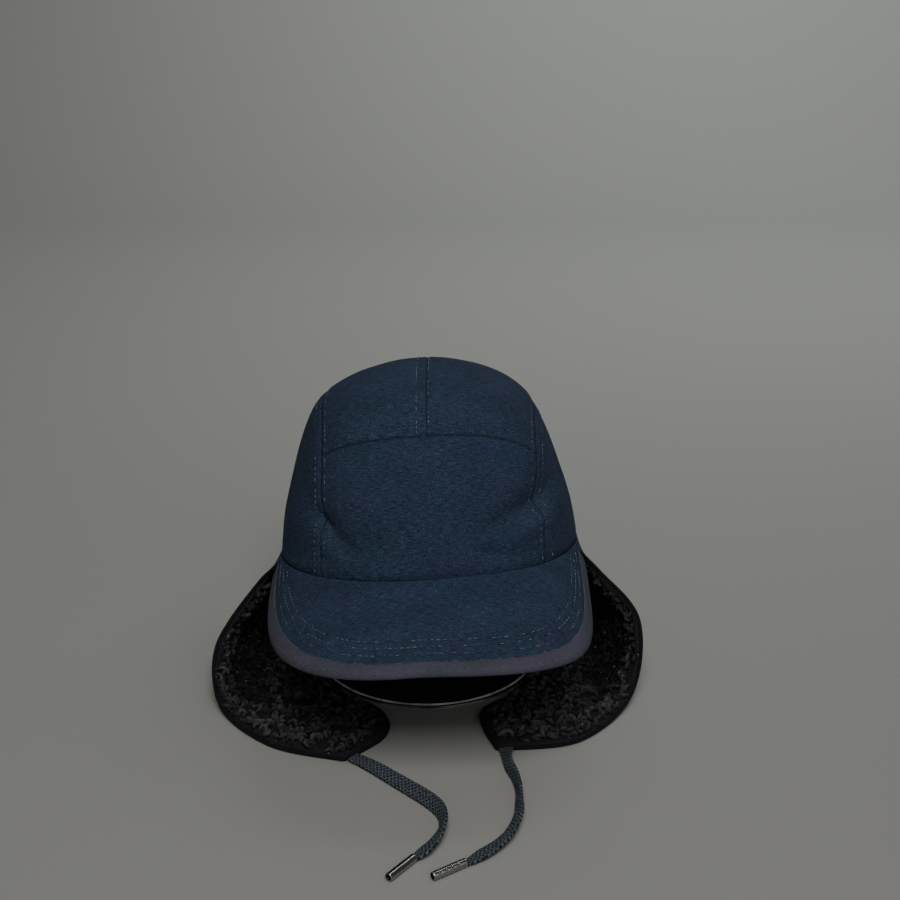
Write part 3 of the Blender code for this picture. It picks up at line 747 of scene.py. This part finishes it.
def crown_piece(name, point, relief, uv, node):
    """Cloth panel: crown points moved by folds and relief, with a wall under them. Over the visor the lower
    edge hangs a little, so that no light passes between the two."""
    outer, normal = folded(point)
    outer = outer + normal * relief[..., None]
    azimuth = np.arctan2(point[..., 0], -point[..., 1])
    over_visor = np.clip((VISOR_CORNER - np.abs(azimuth)) / EDGE_HANG_FADE, 0.0, 1.0)
    outer[..., 2] -= EDGE_HANG * over_visor * np.exp(-(point[..., 2] / EDGE_HEIGHT) ** 2)
    inner = outer - normal * PANEL_WALL
    points, quads, flat_uv = wall_arrays(to_table(outer), to_table(inner), uv)
    obj = mesh_object(name, points, quads, flat_uv)
    return finish_piece(obj, NAVY, "navy_canvas", node)


def crown_sewing_path(point, lift=0.0):
    """Path and normals of a stitch row that lies on the crown's cloth."""
    path, normal = folded(point)
    return to_table(path + normal * lift), normal @ CAP_AXES.T


def front_panel_top(share):
    """Angle over the crown of the seam above the front panel, at a share of the strip's half width."""
    return FRONT_PANEL_TOP + FRONT_PANEL_LIFT * share ** 2 + FRONT_PANEL_LEAN * share


def low_edge_curl(height):
    """Depth by which the cloth turns in at the crown's lower edge."""
    return EDGE_CURL * np.exp(-(height / EDGE_HEIGHT) ** 2)


def build_middle_panels(sewing):
    """Front panel and the two top panels, with their seams and topstitch rows."""
    slit = SEAM_SLIT / CROWN_HEIGHT
    across = np.linspace(-1.0, 1.0, 130)[None, :]
    top = front_panel_top(across)
    u = np.linspace(0.0, 1.0, 90)[:, None] * (top - slit)
    x = across * (strip_half_width(u) - SEAM_SLIT)
    point = strip_point(STRIP_CENTRE + x, u)
    uv = grid_uv(point)
    relief = (seam_relief(strip_half_width(u) - np.abs(x), uv[..., 1], 0.4)
              + seam_relief((top - u) * MEAN_RADIUS, uv[..., 0], 1.3) - low_edge_curl(point[..., 2])
              + uneven(uv, 3, "front_panel"))
    crown_piece("front_panel_cloth", point, relief, uv, "front_panel")

    share = np.linspace(0.0, 1.0, 60)[None, :]
    for side, sign in (("left", -1.0), ("right", 1.0)):
        first = front_panel_top(sign * share) + slit
        u = first + (math.pi - first) * np.linspace(0.0, 1.0, 200)[:, None]
        x = sign * (SEAM_SLIT + share * (strip_half_width(u) - 2 * SEAM_SLIT))
        point = strip_point(STRIP_CENTRE + x, u)
        uv = grid_uv(point, sign * 0.03)
        front = (u - first) * MEAN_RADIUS
        relief = (seam_relief(strip_half_width(u) - np.abs(x), uv[..., 1], 0.4)
                  + seam_relief(np.abs(x), uv[..., 1], 2.0) + seam_relief(front, uv[..., 0], 1.3)
                  + TOP_ROLL * np.exp(-((front - TOP_ROLL_PLACE) / TOP_ROLL_PLACE) ** 2)
                  - low_edge_curl(point[..., 2])
                  + uneven(uv, 5 + int(sign), "top_panel"))
        crown_piece("top_panel_cloth_" + side, point, relief, uv, "top_panel_" + side)

    u = np.linspace(FRONT_PANEL_TOP + ROW_START, math.pi - ROW_END, 500)
    for x, tone in MIDDLE_ROWS:
        sewing.add_row(*crown_sewing_path(strip_point(np.full_like(u, STRIP_CENTRE + x), u)), tone)
    u = np.linspace(ROW_START, math.pi - ROW_END, 700)
    for sign in (-1.0, 1.0):
        for inset in STRIP_ROWS:
            x = STRIP_CENTRE + sign * (strip_half_width(u) - inset)
            sewing.add_row(*crown_sewing_path(strip_point(x, u)), STRIP_TONE)
    share = np.linspace(-0.95, 0.95, 400)
    for back, tone in FRONT_ROWS:
        turn = front_panel_top(share) + back / MEAN_RADIUS
        x = STRIP_CENTRE + share * strip_half_width(turn)
        sewing.add_row(*crown_sewing_path(strip_point(x, turn), FRONT_ROW_LIFT), tone)


def build_side_panels():
    """D shaped side panels, each a patch between the strip's edge and the crown's lower edge."""
    front_turn, back_turn = SIDE_SEAM_TURNS
    columns, rows = 130, 84
    for side, sign in (("left", -1.0), ("right", 1.0)):
        def seam(u):
            point = strip_point(STRIP_CENTRE + sign * (strip_half_width(u) + SEAM_SLIT), u)
            return np.stack((np.arctan2(point[..., 0], -point[..., 1]), point[..., 2]), -1)

        top = seam(np.linspace(front_turn, back_turn, columns))
        front = seam(np.linspace(0.0, front_turn, rows))
        back = seam(np.linspace(math.pi, back_turn, rows))
        low = np.stack((np.linspace(front[0, 0], back[0, 0], columns), np.zeros(columns)), -1)
        p = np.linspace(0.0, 1.0, columns)[None, :, None]
        q = np.linspace(0.0, 1.0, rows)[:, None, None]
        plan = ((1 - q) * low[None] + q * top[None] + (1 - p) * front[:, None] + p * back[:, None]
                - (1 - p) * (1 - q) * front[0] - p * (1 - q) * back[0]
                - (1 - p) * q * front[-1] - p * q * back[-1])
        point = ring_point(plan[..., 0], plan[..., 1])
        uv = np.stack((plan[..., 0] * SIDE_RADIUS, plan[..., 1]), -1)
        turn = np.arctan2(point[..., 2], -point[..., 1])
        distance = np.abs(point[..., 0] - STRIP_CENTRE) - strip_half_width(turn)
        relief = seam_relief(np.abs(distance), turn * SIDE_SEAM_RADIUS, 0.4) - low_edge_curl(point[..., 2])
        relief += uneven(uv, 11 + int(sign), "side_panel")
        crown_piece("side_panel_cloth_" + side, point, relief, uv, "side_panel_" + side)


# Visor


def visor_point(across, out):
    """Visor's upper side: straight lines from the crown's edge (out 0) to the rim (out 1), sloping down."""
    across, out = np.broadcast_arrays(across, out)
    azimuth = across * VISOR_CORNER
    root = ring_point(azimuth, np.zeros_like(azimuth))
    root = root * (1.0 + GAP / np.linalg.norm(root, axis=-1, keepdims=True))
    corner = ring_point(np.array([VISOR_CORNER]), np.zeros(1))[0]
    turn = across * math.pi / 2
    to_right = np.clip(np.sin(turn), 0.0, 1.0)
    power = 2.0 / (VISOR_SQUARENESS + (VISOR_RIGHT_SQUARENESS - VISOR_SQUARENESS) * to_right)
    x = VISOR_HALF_WIDTH * np.sign(turn) * np.abs(np.sin(turn)) ** power
    depth = VISOR_REACH + CROWN_HALF_LENGTH + corner[1]
    y = corner[1] - depth * np.abs(np.cos(turn)) ** power
    rim = np.stack((x, y, np.zeros_like(x)), -1)
    point = root + (rim - root) * out[..., None]
    distance = np.linalg.norm((point - root)[..., :2], axis=-1)
    side = (point[..., 0] / VISOR_HALF_WIDTH) ** 2
    point[..., 2] = -math.tan(VISOR_SLOPE) * distance - VISOR_BOW * side * out
    return point


def inward_from_rim(across, rim):
    """Steps over the visor toward the crown, each one unit inward when measured square to the rim."""
    inward = unit(visor_point(across, np.full(len(across), 0.9)) - rim)
    ahead = unit(np.gradient(rim, axis=0))
    return inward / np.linalg.norm(np.cross(inward, ahead), axis=-1, keepdims=True)


def build_visor(sewing):
    """Visor cloth over its stiffener, tucked under the crown's edge: a wall between two ruled grids, more
    closely spaced toward its corners, with contour stitch rows and a bound rim."""
    spread_turn = 0.96 * math.pi / 2
    across = np.sin(np.linspace(-1.0, 1.0, 190) * spread_turn) / math.sin(spread_turn)
    out = np.linspace(0.0, 1.0, 80)[:, None]
    upper = visor_point(across[None, :], out)
    outward = unit(upper[0] * (1.0, 1.0, 0.0))
    tucked = upper[0] - VISOR_TUCK * (outward + np.array((0.0, 0.0, math.tan(VISOR_SLOPE))))
    upper = np.concatenate((tucked[None], upper))
    rim = upper[-1]
    slant = np.linalg.norm(inward_from_rim(across, rim), axis=-1)
    reach = np.linalg.norm(upper - rim[None], axis=-1) / slant
    relief = uneven(upper, 21, "visor")
    for inset in VISOR_ROWS:
        relief = relief - VISOR_ROW_DITCH * np.exp(-((reach - inset) / SEAM_WIDTH) ** 2)
    upper = upper + relief[..., None] * np.array((0.0, 0.0, 1.0))
    lower = upper - np.array((0.0, 0.0, VISOR_WALL))
    uv = upper[..., :2].copy()
    points, quads, flat_uv = wall_arrays(to_table(upper), to_table(lower), uv)
    finish_piece(mesh_object("visor_cloth", points, quads, flat_uv), NAVY, "navy_canvas", "visor")

    path_across = np.linspace(-0.985, 0.985, 600)
    rim = visor_point(path_across, np.ones_like(path_across))
    root = visor_point(path_across, np.zeros_like(path_across))
    inward = inward_from_rim(path_across, rim)
    up = np.broadcast_to(CAP_AXES @ np.array((0.0, 0.0, 1.0)), rim.shape)
    for inset in VISOR_ROWS:
        line = rim + inward * inset
        room = np.linalg.norm(root - rim, axis=-1) > np.linalg.norm(line - rim, axis=-1) + 0.001
        sewing.add_row(to_table(line[room]), up[room], VISOR_TONE)
    tape_inset = binding_width(path_across) - TAPE_ROW_INSET
    tape_line = rim + inward * tape_inset[:, None] + np.array((0.0, 0.0, TAPE_ROW_LIFT))
    sewing.add_row(to_table(tape_line), up, TAPE_TONE)
    build_binding()


def binding_width(across):
    """Width of the tape's laps, least at the front and most at the sides of the visor, by a squared sine."""
    aside = np.sin(across * math.pi / 2) ** 2
    return BINDING_FRONT_WIDTH + (BINDING_SIDE_WIDTH - BINDING_FRONT_WIDTH) * aside


def build_binding():
    """Tape folded over the rim: a rounded U section carried along the visor's edge, its laps as wide as their
    place asks."""
    across = np.linspace(-1.0, 1.0, 360)
    rim = visor_point(across, np.ones_like(across))
    inward = inward_from_rim(across, rim)
    run = running_length(rim)
    top, low = GAP, -VISOR_WALL - GAP
    wall = BINDING_WALL
    turn = np.linspace(math.pi / 2, 3 * math.pi / 2, 11)
    radius = 0.5 * (top - low) + wall
    middle = 0.5 * (top + low)
    sine, zero = np.sin(turn), np.zeros_like(turn)
    outside = np.stack((zero, np.cos(turn) * radius * 0.8 - GAP, sine * radius + middle), -1)
    inside = np.stack((zero, np.cos(turn) * (radius - wall) * 0.6 - GAP,
                       sine * (radius - wall) + middle), -1)[::-1]
    upper_lap = np.array((
        # share of the lap's width, further in, height
        (1.00, 0.0000, top),
        (1.00, 0.0002, top + 0.5 * wall),
        (1.00, -0.0003, top + wall),
        (0.60, 0.0000, top + 1.35 * wall),
        (0.25, 0.0000, top + 1.2 * wall),
    ))
    lower_lap = upper_lap[::-1] * np.array((1.0, 1.0, -1.0)) + np.array((0.0, 0.0, top + low))
    profile = np.concatenate((upper_lap, outside, lower_lap, inside))
    width = binding_width(across)[:, None]
    inset = profile[None, :, 0] * width + profile[None, :, 1]
    pucker = TAPE_PUCKER * np.cos(run / TAPE_PUCKER_LENGTH * 2.0 * math.pi)
    heights = profile[None, :, 2] + pucker[:, None] * (profile[None, :, 0] > 0.4)
    up = np.array((0.0, 0.0, 1.0))
    rings = rim[:, None] + inward[:, None] * inset[..., None] + up * heights[..., None]
    section = np.stack((profile[:, 0] * BINDING_SIDE_WIDTH, profile[:, 2]), -1)
    uv = np.stack(np.broadcast_arrays(run[:, None], running_length(section)[None, :]), -1)
    obj = ring_object("visor_binding_tape", to_table(rings), uv)
    finish_piece(obj, TAPE, "binding_tape", "visor_binding")


def ring_object(name, rings, uv):
    """Closed body through rings of points: sides, and one face over each end."""
    points, quads = rings.reshape(-1, 3), tube_quads(*rings.shape[:2])
    if signed_volume(points, quads) < 0.0:
        quads = quads[:, ::-1]
    obj = mesh_object(name, points, quads, uv.reshape(-1, 2))
    close_ends(obj)
    return obj


def close_ends(obj):
    """Fill the open ends of a tube."""
    work = bmesh.new()
    work.from_mesh(obj.data)
    bmesh.ops.holes_fill(work, edges=[edge for edge in work.edges if edge.is_boundary], sides=0)
    bmesh.ops.recalc_face_normals(work, faces=work.faces)
    work.to_mesh(obj.data)
    work.free()


# Ear flap band


def crown_edge(azimuths):
    """Points just under the crown's lower edge, in the part's frame."""
    return to_table(ring_point(azimuths, np.full(azimuths.shape, -SEAM_DROP)))


def flap_section(place, right):
    """Five points of a section as outward, backward and up, the right side's with its shifts."""
    points = np.array(FLAP_SECTIONS[place][1:]) * (CROWN_HALF_WIDTH, CROWN_HALF_LENGTH, 1.0)
    if right:
        points[:-1] += np.array(RIGHT_SHIFT) * (1.0 - (place / (len(FLAP_SECTIONS) - 1.0)) ** 2)
        points[-1] += RIGHT_EDGE_SHIFT[min(place, len(RIGHT_EDGE_SHIFT) - 1)]
        if place == len(FLAP_SECTIONS) - 1:
            points[-1, 0] = 0.0
    return points


def flap_surface(sign, stations, steps):
    """Outside of half of the band: smooth lines through its sections, from the front edge back and from the
    seam to the free edge."""
    azimuths = np.radians([row[0] for row in FLAP_SECTIONS])
    seam = crown_edge(sign * azimuths)
    table = [np.concatenate((seam[place:place + 1], flap_section(place, sign > 0.0) * (sign, 1.0, 1.0)))
             for place in range(len(FLAP_SECTIONS))]
    coarse = smooth_rows(table, stations)
    coarse[:, 0] = crown_edge(sign * smooth_rows(azimuths, stations))
    surface = smooth_rows(coarse.transpose(1, 0, 2), steps).transpose(1, 0, 2)
    surface[..., 2] = np.maximum(surface[..., 2], GAP)
    return surface


def flap_normal(outer, sign):
    """Directions toward the fleece side, level with the opening along the seam."""
    normal = unit(np.cross(np.gradient(outer, axis=1), np.gradient(outer, axis=0))) * -sign
    upright = CAP_AXES[:, 2]
    level = unit(normal - (normal @ upright)[..., None] * upright)
    steps = np.linspace(0.0, 1.0, outer.shape[1])[None, :, None]
    share = np.clip(1.0 - steps / SEAM_BLEND, 0.0, 1.0)
    return unit(share * level + (1.0 - share) * normal)


def build_flaps(sewing):
    """Cloth shell, rolled edge and curly fleece of both halves of the band."""
    for side, sign in FLAP_SIDES:
        outer = flap_surface(sign, 151, 97)
        normal = flap_normal(outer, sign)
        uv = grid_uv(outer)
        t = np.linspace(0.0, 1.0, outer.shape[1])[None, :]
        relief = uneven(uv, 31 + int(sign), "flap") * np.clip(t * 4, 0, 1)
        relief *= np.clip((outer[..., 2] - 0.001) / 0.006, 0.0, 1.0)
        shell = outer - normal * np.maximum(relief, -0.0002)[..., None]
        middle = outer + normal * FLAP_SHELL_WALL
        shell[-1, :, 0] = middle[-1, :, 0] = sign * 0.5 * GAP
        points, quads, flat_uv = wall_arrays(shell, middle, uv)
        obj = mesh_object("flap_shell_cloth_" + side, points, quads, flat_uv)
        finish_piece(obj, NAVY, "navy_canvas", "flap_shell_" + side)
        build_fleece(side, sign, middle, normal)
        build_flap_edge(side, outer, normal)
        sewing.add_row(*edge_row(outer, normal, FLAP_ROW_INSET), FLAP_TONE)


def edge_row(outer, normal, inset):
    """Stitch row on the shell's outside, at a distance in from the front and free edges."""
    row = max(1, int(round(inset / np.linalg.norm(outer[1, 20] - outer[0, 20]))))
    column = max(1, int(round(inset / np.linalg.norm(outer[20, -1] - outer[20, -2]))))
    path = np.concatenate((outer[row, 4:-column], outer[row:-2, -1 - column]))
    up = -np.concatenate((normal[row, 4:-column], normal[row:-2, -1 - column]))
    return path, up


def build_flap_edge(side, outer, normal):
    """Rolled hem: a thin cord of cloth carried along the front and the free edge."""
    path = np.concatenate((outer[0, 2:], outer[1:-1, -1]))
    inward = np.concatenate((normal[0, 2:], normal[1:-1, -1]))
    path = path + inward * HEM_INSET
    for _ in range(HEM_SMOOTHINGS):
        path[1:-1] = 0.5 * path[1:-1] + 0.25 * (path[:-2] + path[2:])
    ahead = unit(np.gradient(path, axis=0))
    side_way = unit(np.cross(ahead, inward))
    inward = unit(np.cross(side_way, ahead))
    angle = ring_angles(10)
    rings = path[:, None] + HEM_RADIUS * (np.cos(angle)[None, :, None] * side_way[:, None]
                                          + np.sin(angle)[None, :, None] * inward[:, None])
    rings[..., 2] = np.maximum(rings[..., 2], 0.0001)
    uv = np.stack(np.broadcast_arrays(angle[None, :] * HEM_RADIUS, running_length(path)[:, None]), -1)
    obj = ring_object("flap_edge_roll_" + side, rings, uv)
    finish_piece(obj, HEM, "navy_canvas")


def build_fleece(side, sign, middle, normal):
    """Curly fleece: a lumpy backing in painted shade and many bent curls that stand out of it."""
    middle, normal = middle[::2, ::2], normal[::2, ::2]
    base = middle + normal * GAP
    uv = grid_uv(base)
    lump = uneven(uv, 41 + int(sign), "fleece", waves=12)
    t = np.linspace(0.0, 1.0, base.shape[1])[None, :]
    s = np.linspace(0.0, 1.0, base.shape[0])[:, None]
    seam_taper, free_taper, front_taper = FLEECE_TAPERS
    edge = np.minimum(np.minimum(t * seam_taper, (1.0 - t) * free_taper), s * front_taper)
    thick = (FLEECE_WALL - CURL_LIFT + lump) * (0.45 + 0.55 * np.clip(edge, 0.0, 1.0))
    top = base + normal * thick[..., None]
    base[-1, :, 0] = top[-1, :, 0] = sign * 0.5 * GAP
    # painted shade on the backing between the curls, deeper inside the band
    backing = BACKING_SHADED_LIGHT * band_light_share(s, t)
    points, quads, tones = wall_arrays(base, top, np.stack((np.zeros_like(backing), backing), -1))
    curl_points, curl_quads, curl_tones = curls(top, normal, 51 + int(sign))
    obj = mesh_object("curly_fleece_" + side, np.concatenate((points, curl_points)),
                      np.concatenate((quads, curl_quads + len(points))), np.concatenate((tones, curl_tones)))
    finish_piece(obj, FLEECE, "black_fleece", "flap_fleece_" + side)


def band_light_share(back, down):
    """Painted light share of the fleece, by the shares of the way back and from the seam down: 1 toward the
    flap's front and on the table, falling to painted shade where the band's inside lies in shadow under the
    crown and visor."""
    # painted shade: darkest where the band's wall stands under the crown and visor
    inside = np.clip(9.0 * back - 0.5, 0.0, 1.0) * np.clip(7.4 - 10.0 * down, 0.0, 1.0)
    return 1.0 - BAND_INSIDE_SHADE * inside


def curls(top, normal, seed):
    """Bent tubes spread evenly by area over a grid, except along its front and free edges, each an arc that
    dips in at its ends. Their UV holds a tone and a painted light share: painted shade on each curl's
    underside and low parts, and deeper where the band's inside lies in shadow."""
    rng = np.random.default_rng(seed)
    rows, columns = top.shape[:2]
    cell = np.linalg.norm(np.cross(np.diff(top, axis=0)[:, :-1], np.diff(top, axis=1)[:-1]), axis=-1)
    cell[0] = cell[:, -1] = 0.0
    chance = cell.ravel() / cell.sum()
    pick = rng.choice(len(chance), CURLS_PER_SIDE, p=chance)
    i, j = np.divmod(pick, columns - 1)
    a, b = rng.random((2, CURLS_PER_SIDE, 1))
    centre = (top[i, j] * (1 - a) * (1 - b) + top[i + 1, j] * a * (1 - b)
              + top[i, j + 1] * (1 - a) * b + top[i + 1, j + 1] * a * b)
    up = normal[i, j]
    heading = unit(np.cross(up, rng.normal(size=(CURLS_PER_SIDE, 3))))
    beside = np.cross(up, heading)
    turn_radius = rng.uniform(*CURL_BENDS, (CURLS_PER_SIDE, 1, 1))
    sweep = rng.uniform(*CURL_SWEEPS, (CURLS_PER_SIDE, 1, 1))
    share = np.linspace(-0.5, 0.5, 6)[None, :, None]
    angle = share * sweep
    bulge = np.cos(share * math.pi)
    lift = rng.uniform(0.3, 1.0, (CURLS_PER_SIDE, 1, 1))
    line = (centre[:, None] + heading[:, None] * np.sin(angle) * turn_radius
            + beside[:, None] * (np.cos(angle) - 0.6) * turn_radius
            + up[:, None] * (bulge * lift * CURL_LIFT - CURL_SINK))
    ahead = unit(np.gradient(line, axis=1))
    across = unit(np.cross(ahead, up[:, None]))
    over = np.cross(across, ahead)
    ring = ring_angles(6)
    width = CURL_RADIUS * (0.40 + 0.60 * bulge) * rng.uniform(0.70, 1.15, (CURLS_PER_SIDE, 1, 1))
    rings = line[:, :, None] + width[:, :, None] * (np.cos(ring)[:, None] * across[:, :, None]
                                                    + np.sin(ring)[:, None] * over[:, :, None])
    points, quads = closed_threads(rings)
    points[:, 2] = np.maximum(points[:, 2], CURL_LOWEST)
    # painted shade inside the band, under the crown and visor
    band_light = band_light_share(i / rows, j / columns)[:, None, None]
    # painted shade: the lower parts and undersides of each curl are darker
    painted_curl_light = band_light * (0.06 + 0.94 * (bulge * lift) * (0.5 + 0.5 * np.sin(ring)[None, None, :]) ** 1.5)
    tone = np.broadcast_to(rng.random((CURLS_PER_SIDE, 1, 1)), rings.shape[:3])
    return points, quads, np.stack((tone.ravel(), painted_curl_light.ravel()), -1)


# Laces


def build_laces():
    """Flat woven laces that lie on the table, and their metal tubes: a flat rounded section, turned by the
    path's own turns about its line and narrowed where it enters the tube."""
    for side, points in LACE_PATHS.items():
        line = smooth_rows(np.array(points), 220)
        ahead = unit(np.gradient(line[:, :2], axis=0))
        across = np.stack((-ahead[:, 1], ahead[:, 0]), -1)
        turn = np.radians(line[:, 2])
        share = np.linspace(0.0, 1.0, len(line))
        narrow = 1.0 - LACE_NARROWING * np.clip((share - 0.90) / 0.10, 0.0, 1.0) ** 1.5
        half_width, half_thick = 0.5 * LACE_WIDTH * narrow, 0.5 * LACE_THICKNESS
        angle = ring_angles(32)
        wide, thick = (np.sign(wave) * np.abs(wave) ** LACE_SQUARENESS
                       for wave in (np.cos(angle), np.sin(angle)))
        run = running_length(line[:, :2])
        ribs = 1.0 + 0.05 * np.sin(run[:, None] / LACE_RIB * math.pi + wide[None, :] * 6.0)
        a = wide[None, :] * half_width[:, None]
        b = thick[None, :] * half_thick * ribs
        level = a * np.sin(turn)[:, None] + b * np.cos(turn)[:, None]
        flat = a * np.cos(turn)[:, None] - b * np.sin(turn)[:, None]
        middle = half_width * np.sin(turn) + half_thick * np.cos(turn) + GAP
        plan = line[:, None, :2] + across[:, None] * flat[..., None]
        rings = np.concatenate((plan, (middle[:, None] + level)[..., None]), -1)
        uv = np.stack(np.broadcast_arrays(wide[None, :] * 0.5 * LACE_WIDTH, run[:, None]), -1)
        lace = ring_object("flat_lace_" + side, rings, uv)
        finish_piece(lace, LACE, "woven_lace", "lace_" + side)
        tip = build_tip(side, line[-1])


def build_tip(side, end):
    """Metal tube: a profile turned round its own line, with a pressed seam and, at the right, four dots."""
    turn = TIP_TURN[side]
    ahead = np.array((math.cos(turn), math.sin(turn), 0.0))
    start = np.array((end[0], end[1], TIP_RADIUS + GAP)) + ahead * 2 * GAP
    across = np.array((-ahead[1], ahead[0], 0.0))
    up = np.array((0.0, 0.0, 1.0))
    corner = np.linspace(0.0, math.pi / 2, 5)
    back, down = TIP_ROLL * (1 - np.sin(corner)), TIP_ROLL * (1 - np.cos(corner))
    near = np.stack((back[::-1], TIP_RADIUS - down[::-1]), -1)
    body = np.stack((np.linspace(TIP_ROLL, TIP_LENGTH - TIP_ROLL, 60)[1:-1], np.full(58, TIP_RADIUS)), -1)
    far = np.stack((TIP_LENGTH - back, TIP_RADIUS - down), -1)
    bore = np.array(((TIP_LENGTH - 0.0001, TIP_BORE), (TIP_LENGTH - 0.003, TIP_BORE - 0.0001),
                     (0.6 * TIP_LENGTH, TIP_BORE - 0.0002), (0.6 * TIP_LENGTH - 0.0001, 0.0002)))
    mouth = np.array(((0.0, 0.0002), (0.0, 0.5 * TIP_RADIUS)))
    profile = np.concatenate((mouth, near, body, far, bore))
    angle = ring_angles(40)
    along, radius = profile[:, :1], profile[:, 1:]
    skin = radius > 0.9 * TIP_RADIUS
    if side == "right":
        beside = (angle[None, :] - TIP_DOT_TURN) * TIP_RADIUS / TIP_DOT_RADIUS
        for place in TIP_DOTS:
            radius = radius - TIP_DENT * skin * np.exp(-((along - place) / TIP_DOT_RADIUS) ** 2 - beside ** 2)
    off_seam = (angle[None, :] - TIP_SEAM_TURN) * TIP_RADIUS / TIP_SEAM
    radius = radius - TIP_SEAM * skin * np.exp(-off_seam ** 2)
    rings = (start + ahead * along[..., None] + radius[..., None]
             * (np.cos(angle)[None, :, None] * across + np.sin(angle)[None, :, None] * up))
    inside = np.arange(len(profile))[:, None] >= len(profile) - len(bore)
    # bore rows get a negative UV, which the nickel finish paints black as shade inside the tube
    uv = np.stack(np.broadcast_arrays(angle[None, :] * TIP_RADIUS, np.where(inside, -along, along)), -1)
    tip = ring_object("lace_tube_" + side, rings, uv)
    return finish_piece(tip, NICKEL, "tip_metal", "lace_tip_" + side)


# Stand


def lathe_object(name, profile, sides=160):
    """Body of revolution round Z from rows of radius and height."""
    angle = ring_angles(sides)
    radius, height = np.array(profile).T[..., None]
    rings = np.stack(np.broadcast_arrays(radius * np.cos(angle), radius * np.sin(angle), height), -1)
    uv = np.stack(np.broadcast_arrays(angle[None, :] * BASE_RADIUS, height), -1)
    return ring_object(name, rings, uv)


def build_stand():
    """Lacquered foot with a raised rim, its post, and the pad under the crown."""
    top, edge = BASE_THICKNESS, BASE_RADIUS
    foot = (
        # radius, height
        (0.0005, 0.0), (edge - 0.0009, 0.0), (edge - 0.0003, 0.0002), (edge, 0.0005),
        (edge - 0.0002, 0.0008), (edge - 0.0006, 0.0011), (edge - 0.0006, top - 0.0011),
        (edge - 0.0002, top - 0.0008), (edge, top - 0.0005), (edge - 0.0003, top - 0.0002),
        (edge - 0.0009, top), (edge - 0.0016, top - 0.0001), (edge - 0.0021, top - 0.0006),
        (edge - 0.0034, top - 0.0008), (0.0120, top - 0.0008), (0.0090, top - 0.0005),
        (0.0005, top - 0.0004),
    )
    obj = lathe_object("stand_foot_plate", foot)
    finish_piece(obj, LACQUER, "stand_black", "stand_base")
    for node in ("stand_post", "stand_head"):
        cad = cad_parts[node]
        cad.data.materials.clear()
        cad.data.materials.append(LACQUER)


# Surroundings


def build_surroundings():
    """Plain pale floor that curves up into a backdrop, soft lights and the camera."""
    bend = np.linspace(0.1, math.pi / 2, 12)
    run = np.concatenate((np.linspace(-3.0, 1.2, 10)[:, None] * (1.0, 0.0),
                          np.stack((1.2 + np.sin(bend) * 0.8, 0.8 - np.cos(bend) * 0.8), -1),
                          np.array(((2.0, 1.4), (2.0, 3.0)))))
    x = np.linspace(-4.0, 4.0, 5)
    points = np.stack(np.broadcast_arrays(x[None, :], run[:, 0, None], run[:, 1, None]), -1)
    floor = mesh_object("pale_floor", points.reshape(-1, 3), grid_faces(len(run), len(x)))
    paint = Finish("pale_floor_paint").surface({"Base Color": (0.250, 0.244, 0.229, 1.0), "Roughness": 0.7})
    floor.data.materials.append(paint)
    lights = (
        # name, place, target, size, watts, tone
        ("key_light", (0.08, -0.92, 1.34), (0.0, 0.0, 0.05), 0.7, 16.5, (1.0, 1.0, 1.0)),
        ("right_fill_light", (0.90, -1.20, 0.80), (0.0, 0.0, 0.05), 1.2, 3.2, (1.0, 1.0, 1.0)),
        ("left_fill_light", (-0.70, -1.40, 0.80), (0.0, 0.0, 0.05), 1.2, 0.9, (1.0, 1.0, 1.0)),
        ("back_light", (0.55, 0.70, 1.50), (0.2, 2.2, 0.60), 1.2, 27.0, (0.93, 0.99, 1.0)),
    )
    for name, place, target, size, watts, tone in lights:
        lamp = bpy.data.lights.new(name, "AREA")
        lamp.size = size
        lamp.energy = watts
        lamp.color = tone
        obj = bpy.data.objects.new(name, lamp)
        aim = np.array(target) - np.array(place)
        pitch = math.atan2(aim[2], math.hypot(aim[0], aim[1]))
        obj.location = place
        obj.rotation_euler = (math.pi / 2 + pitch, 0.0, math.atan2(aim[1], aim[0]) - math.pi / 2)
        bpy.context.scene.collection.objects.link(obj)
    world = bpy.data.worlds.new("soft_room")
    world.use_nodes = True
    sky = world.node_tree.nodes["Background"].inputs
    sky["Color"].default_value = (0.95, 0.97, 1.0, 1.0)
    sky["Strength"].default_value = 0.06
    bpy.context.scene.world = world
    bpy.context.scene.view_settings.view_transform = "Standard"
    camera = bpy.data.cameras.new("photo_camera")
    camera.sensor_width = 36.0
    camera.lens = CAMERA_FOCAL_PIXELS / PHOTO_PIXELS * 36.0
    camera.clip_start = 0.01
    view = bpy.data.objects.new("photo_camera", camera)
    view.location = CAMERA_PLACE
    view.rotation_euler = (math.pi / 2 - CAMERA_PITCH, 0.0, 0.0)
    bpy.context.scene.collection.objects.link(view)
    bpy.context.scene.camera = view


build_surroundings()
build_laces()
crown_sewing = Sewing(7)
build_middle_panels(crown_sewing)
build_side_panels()
finish_piece(crown_sewing.build("crown_topstitching"), THREAD, "navy_canvas")
visor_sewing = Sewing(8)
build_visor(visor_sewing)
finish_piece(visor_sewing.build("visor_topstitching"), THREAD, "navy_canvas")
flap_sewing = Sewing(9)
build_flaps(flap_sewing)
finish_piece(flap_sewing.build("flap_topstitching"), THREAD, "navy_canvas")
build_stand()
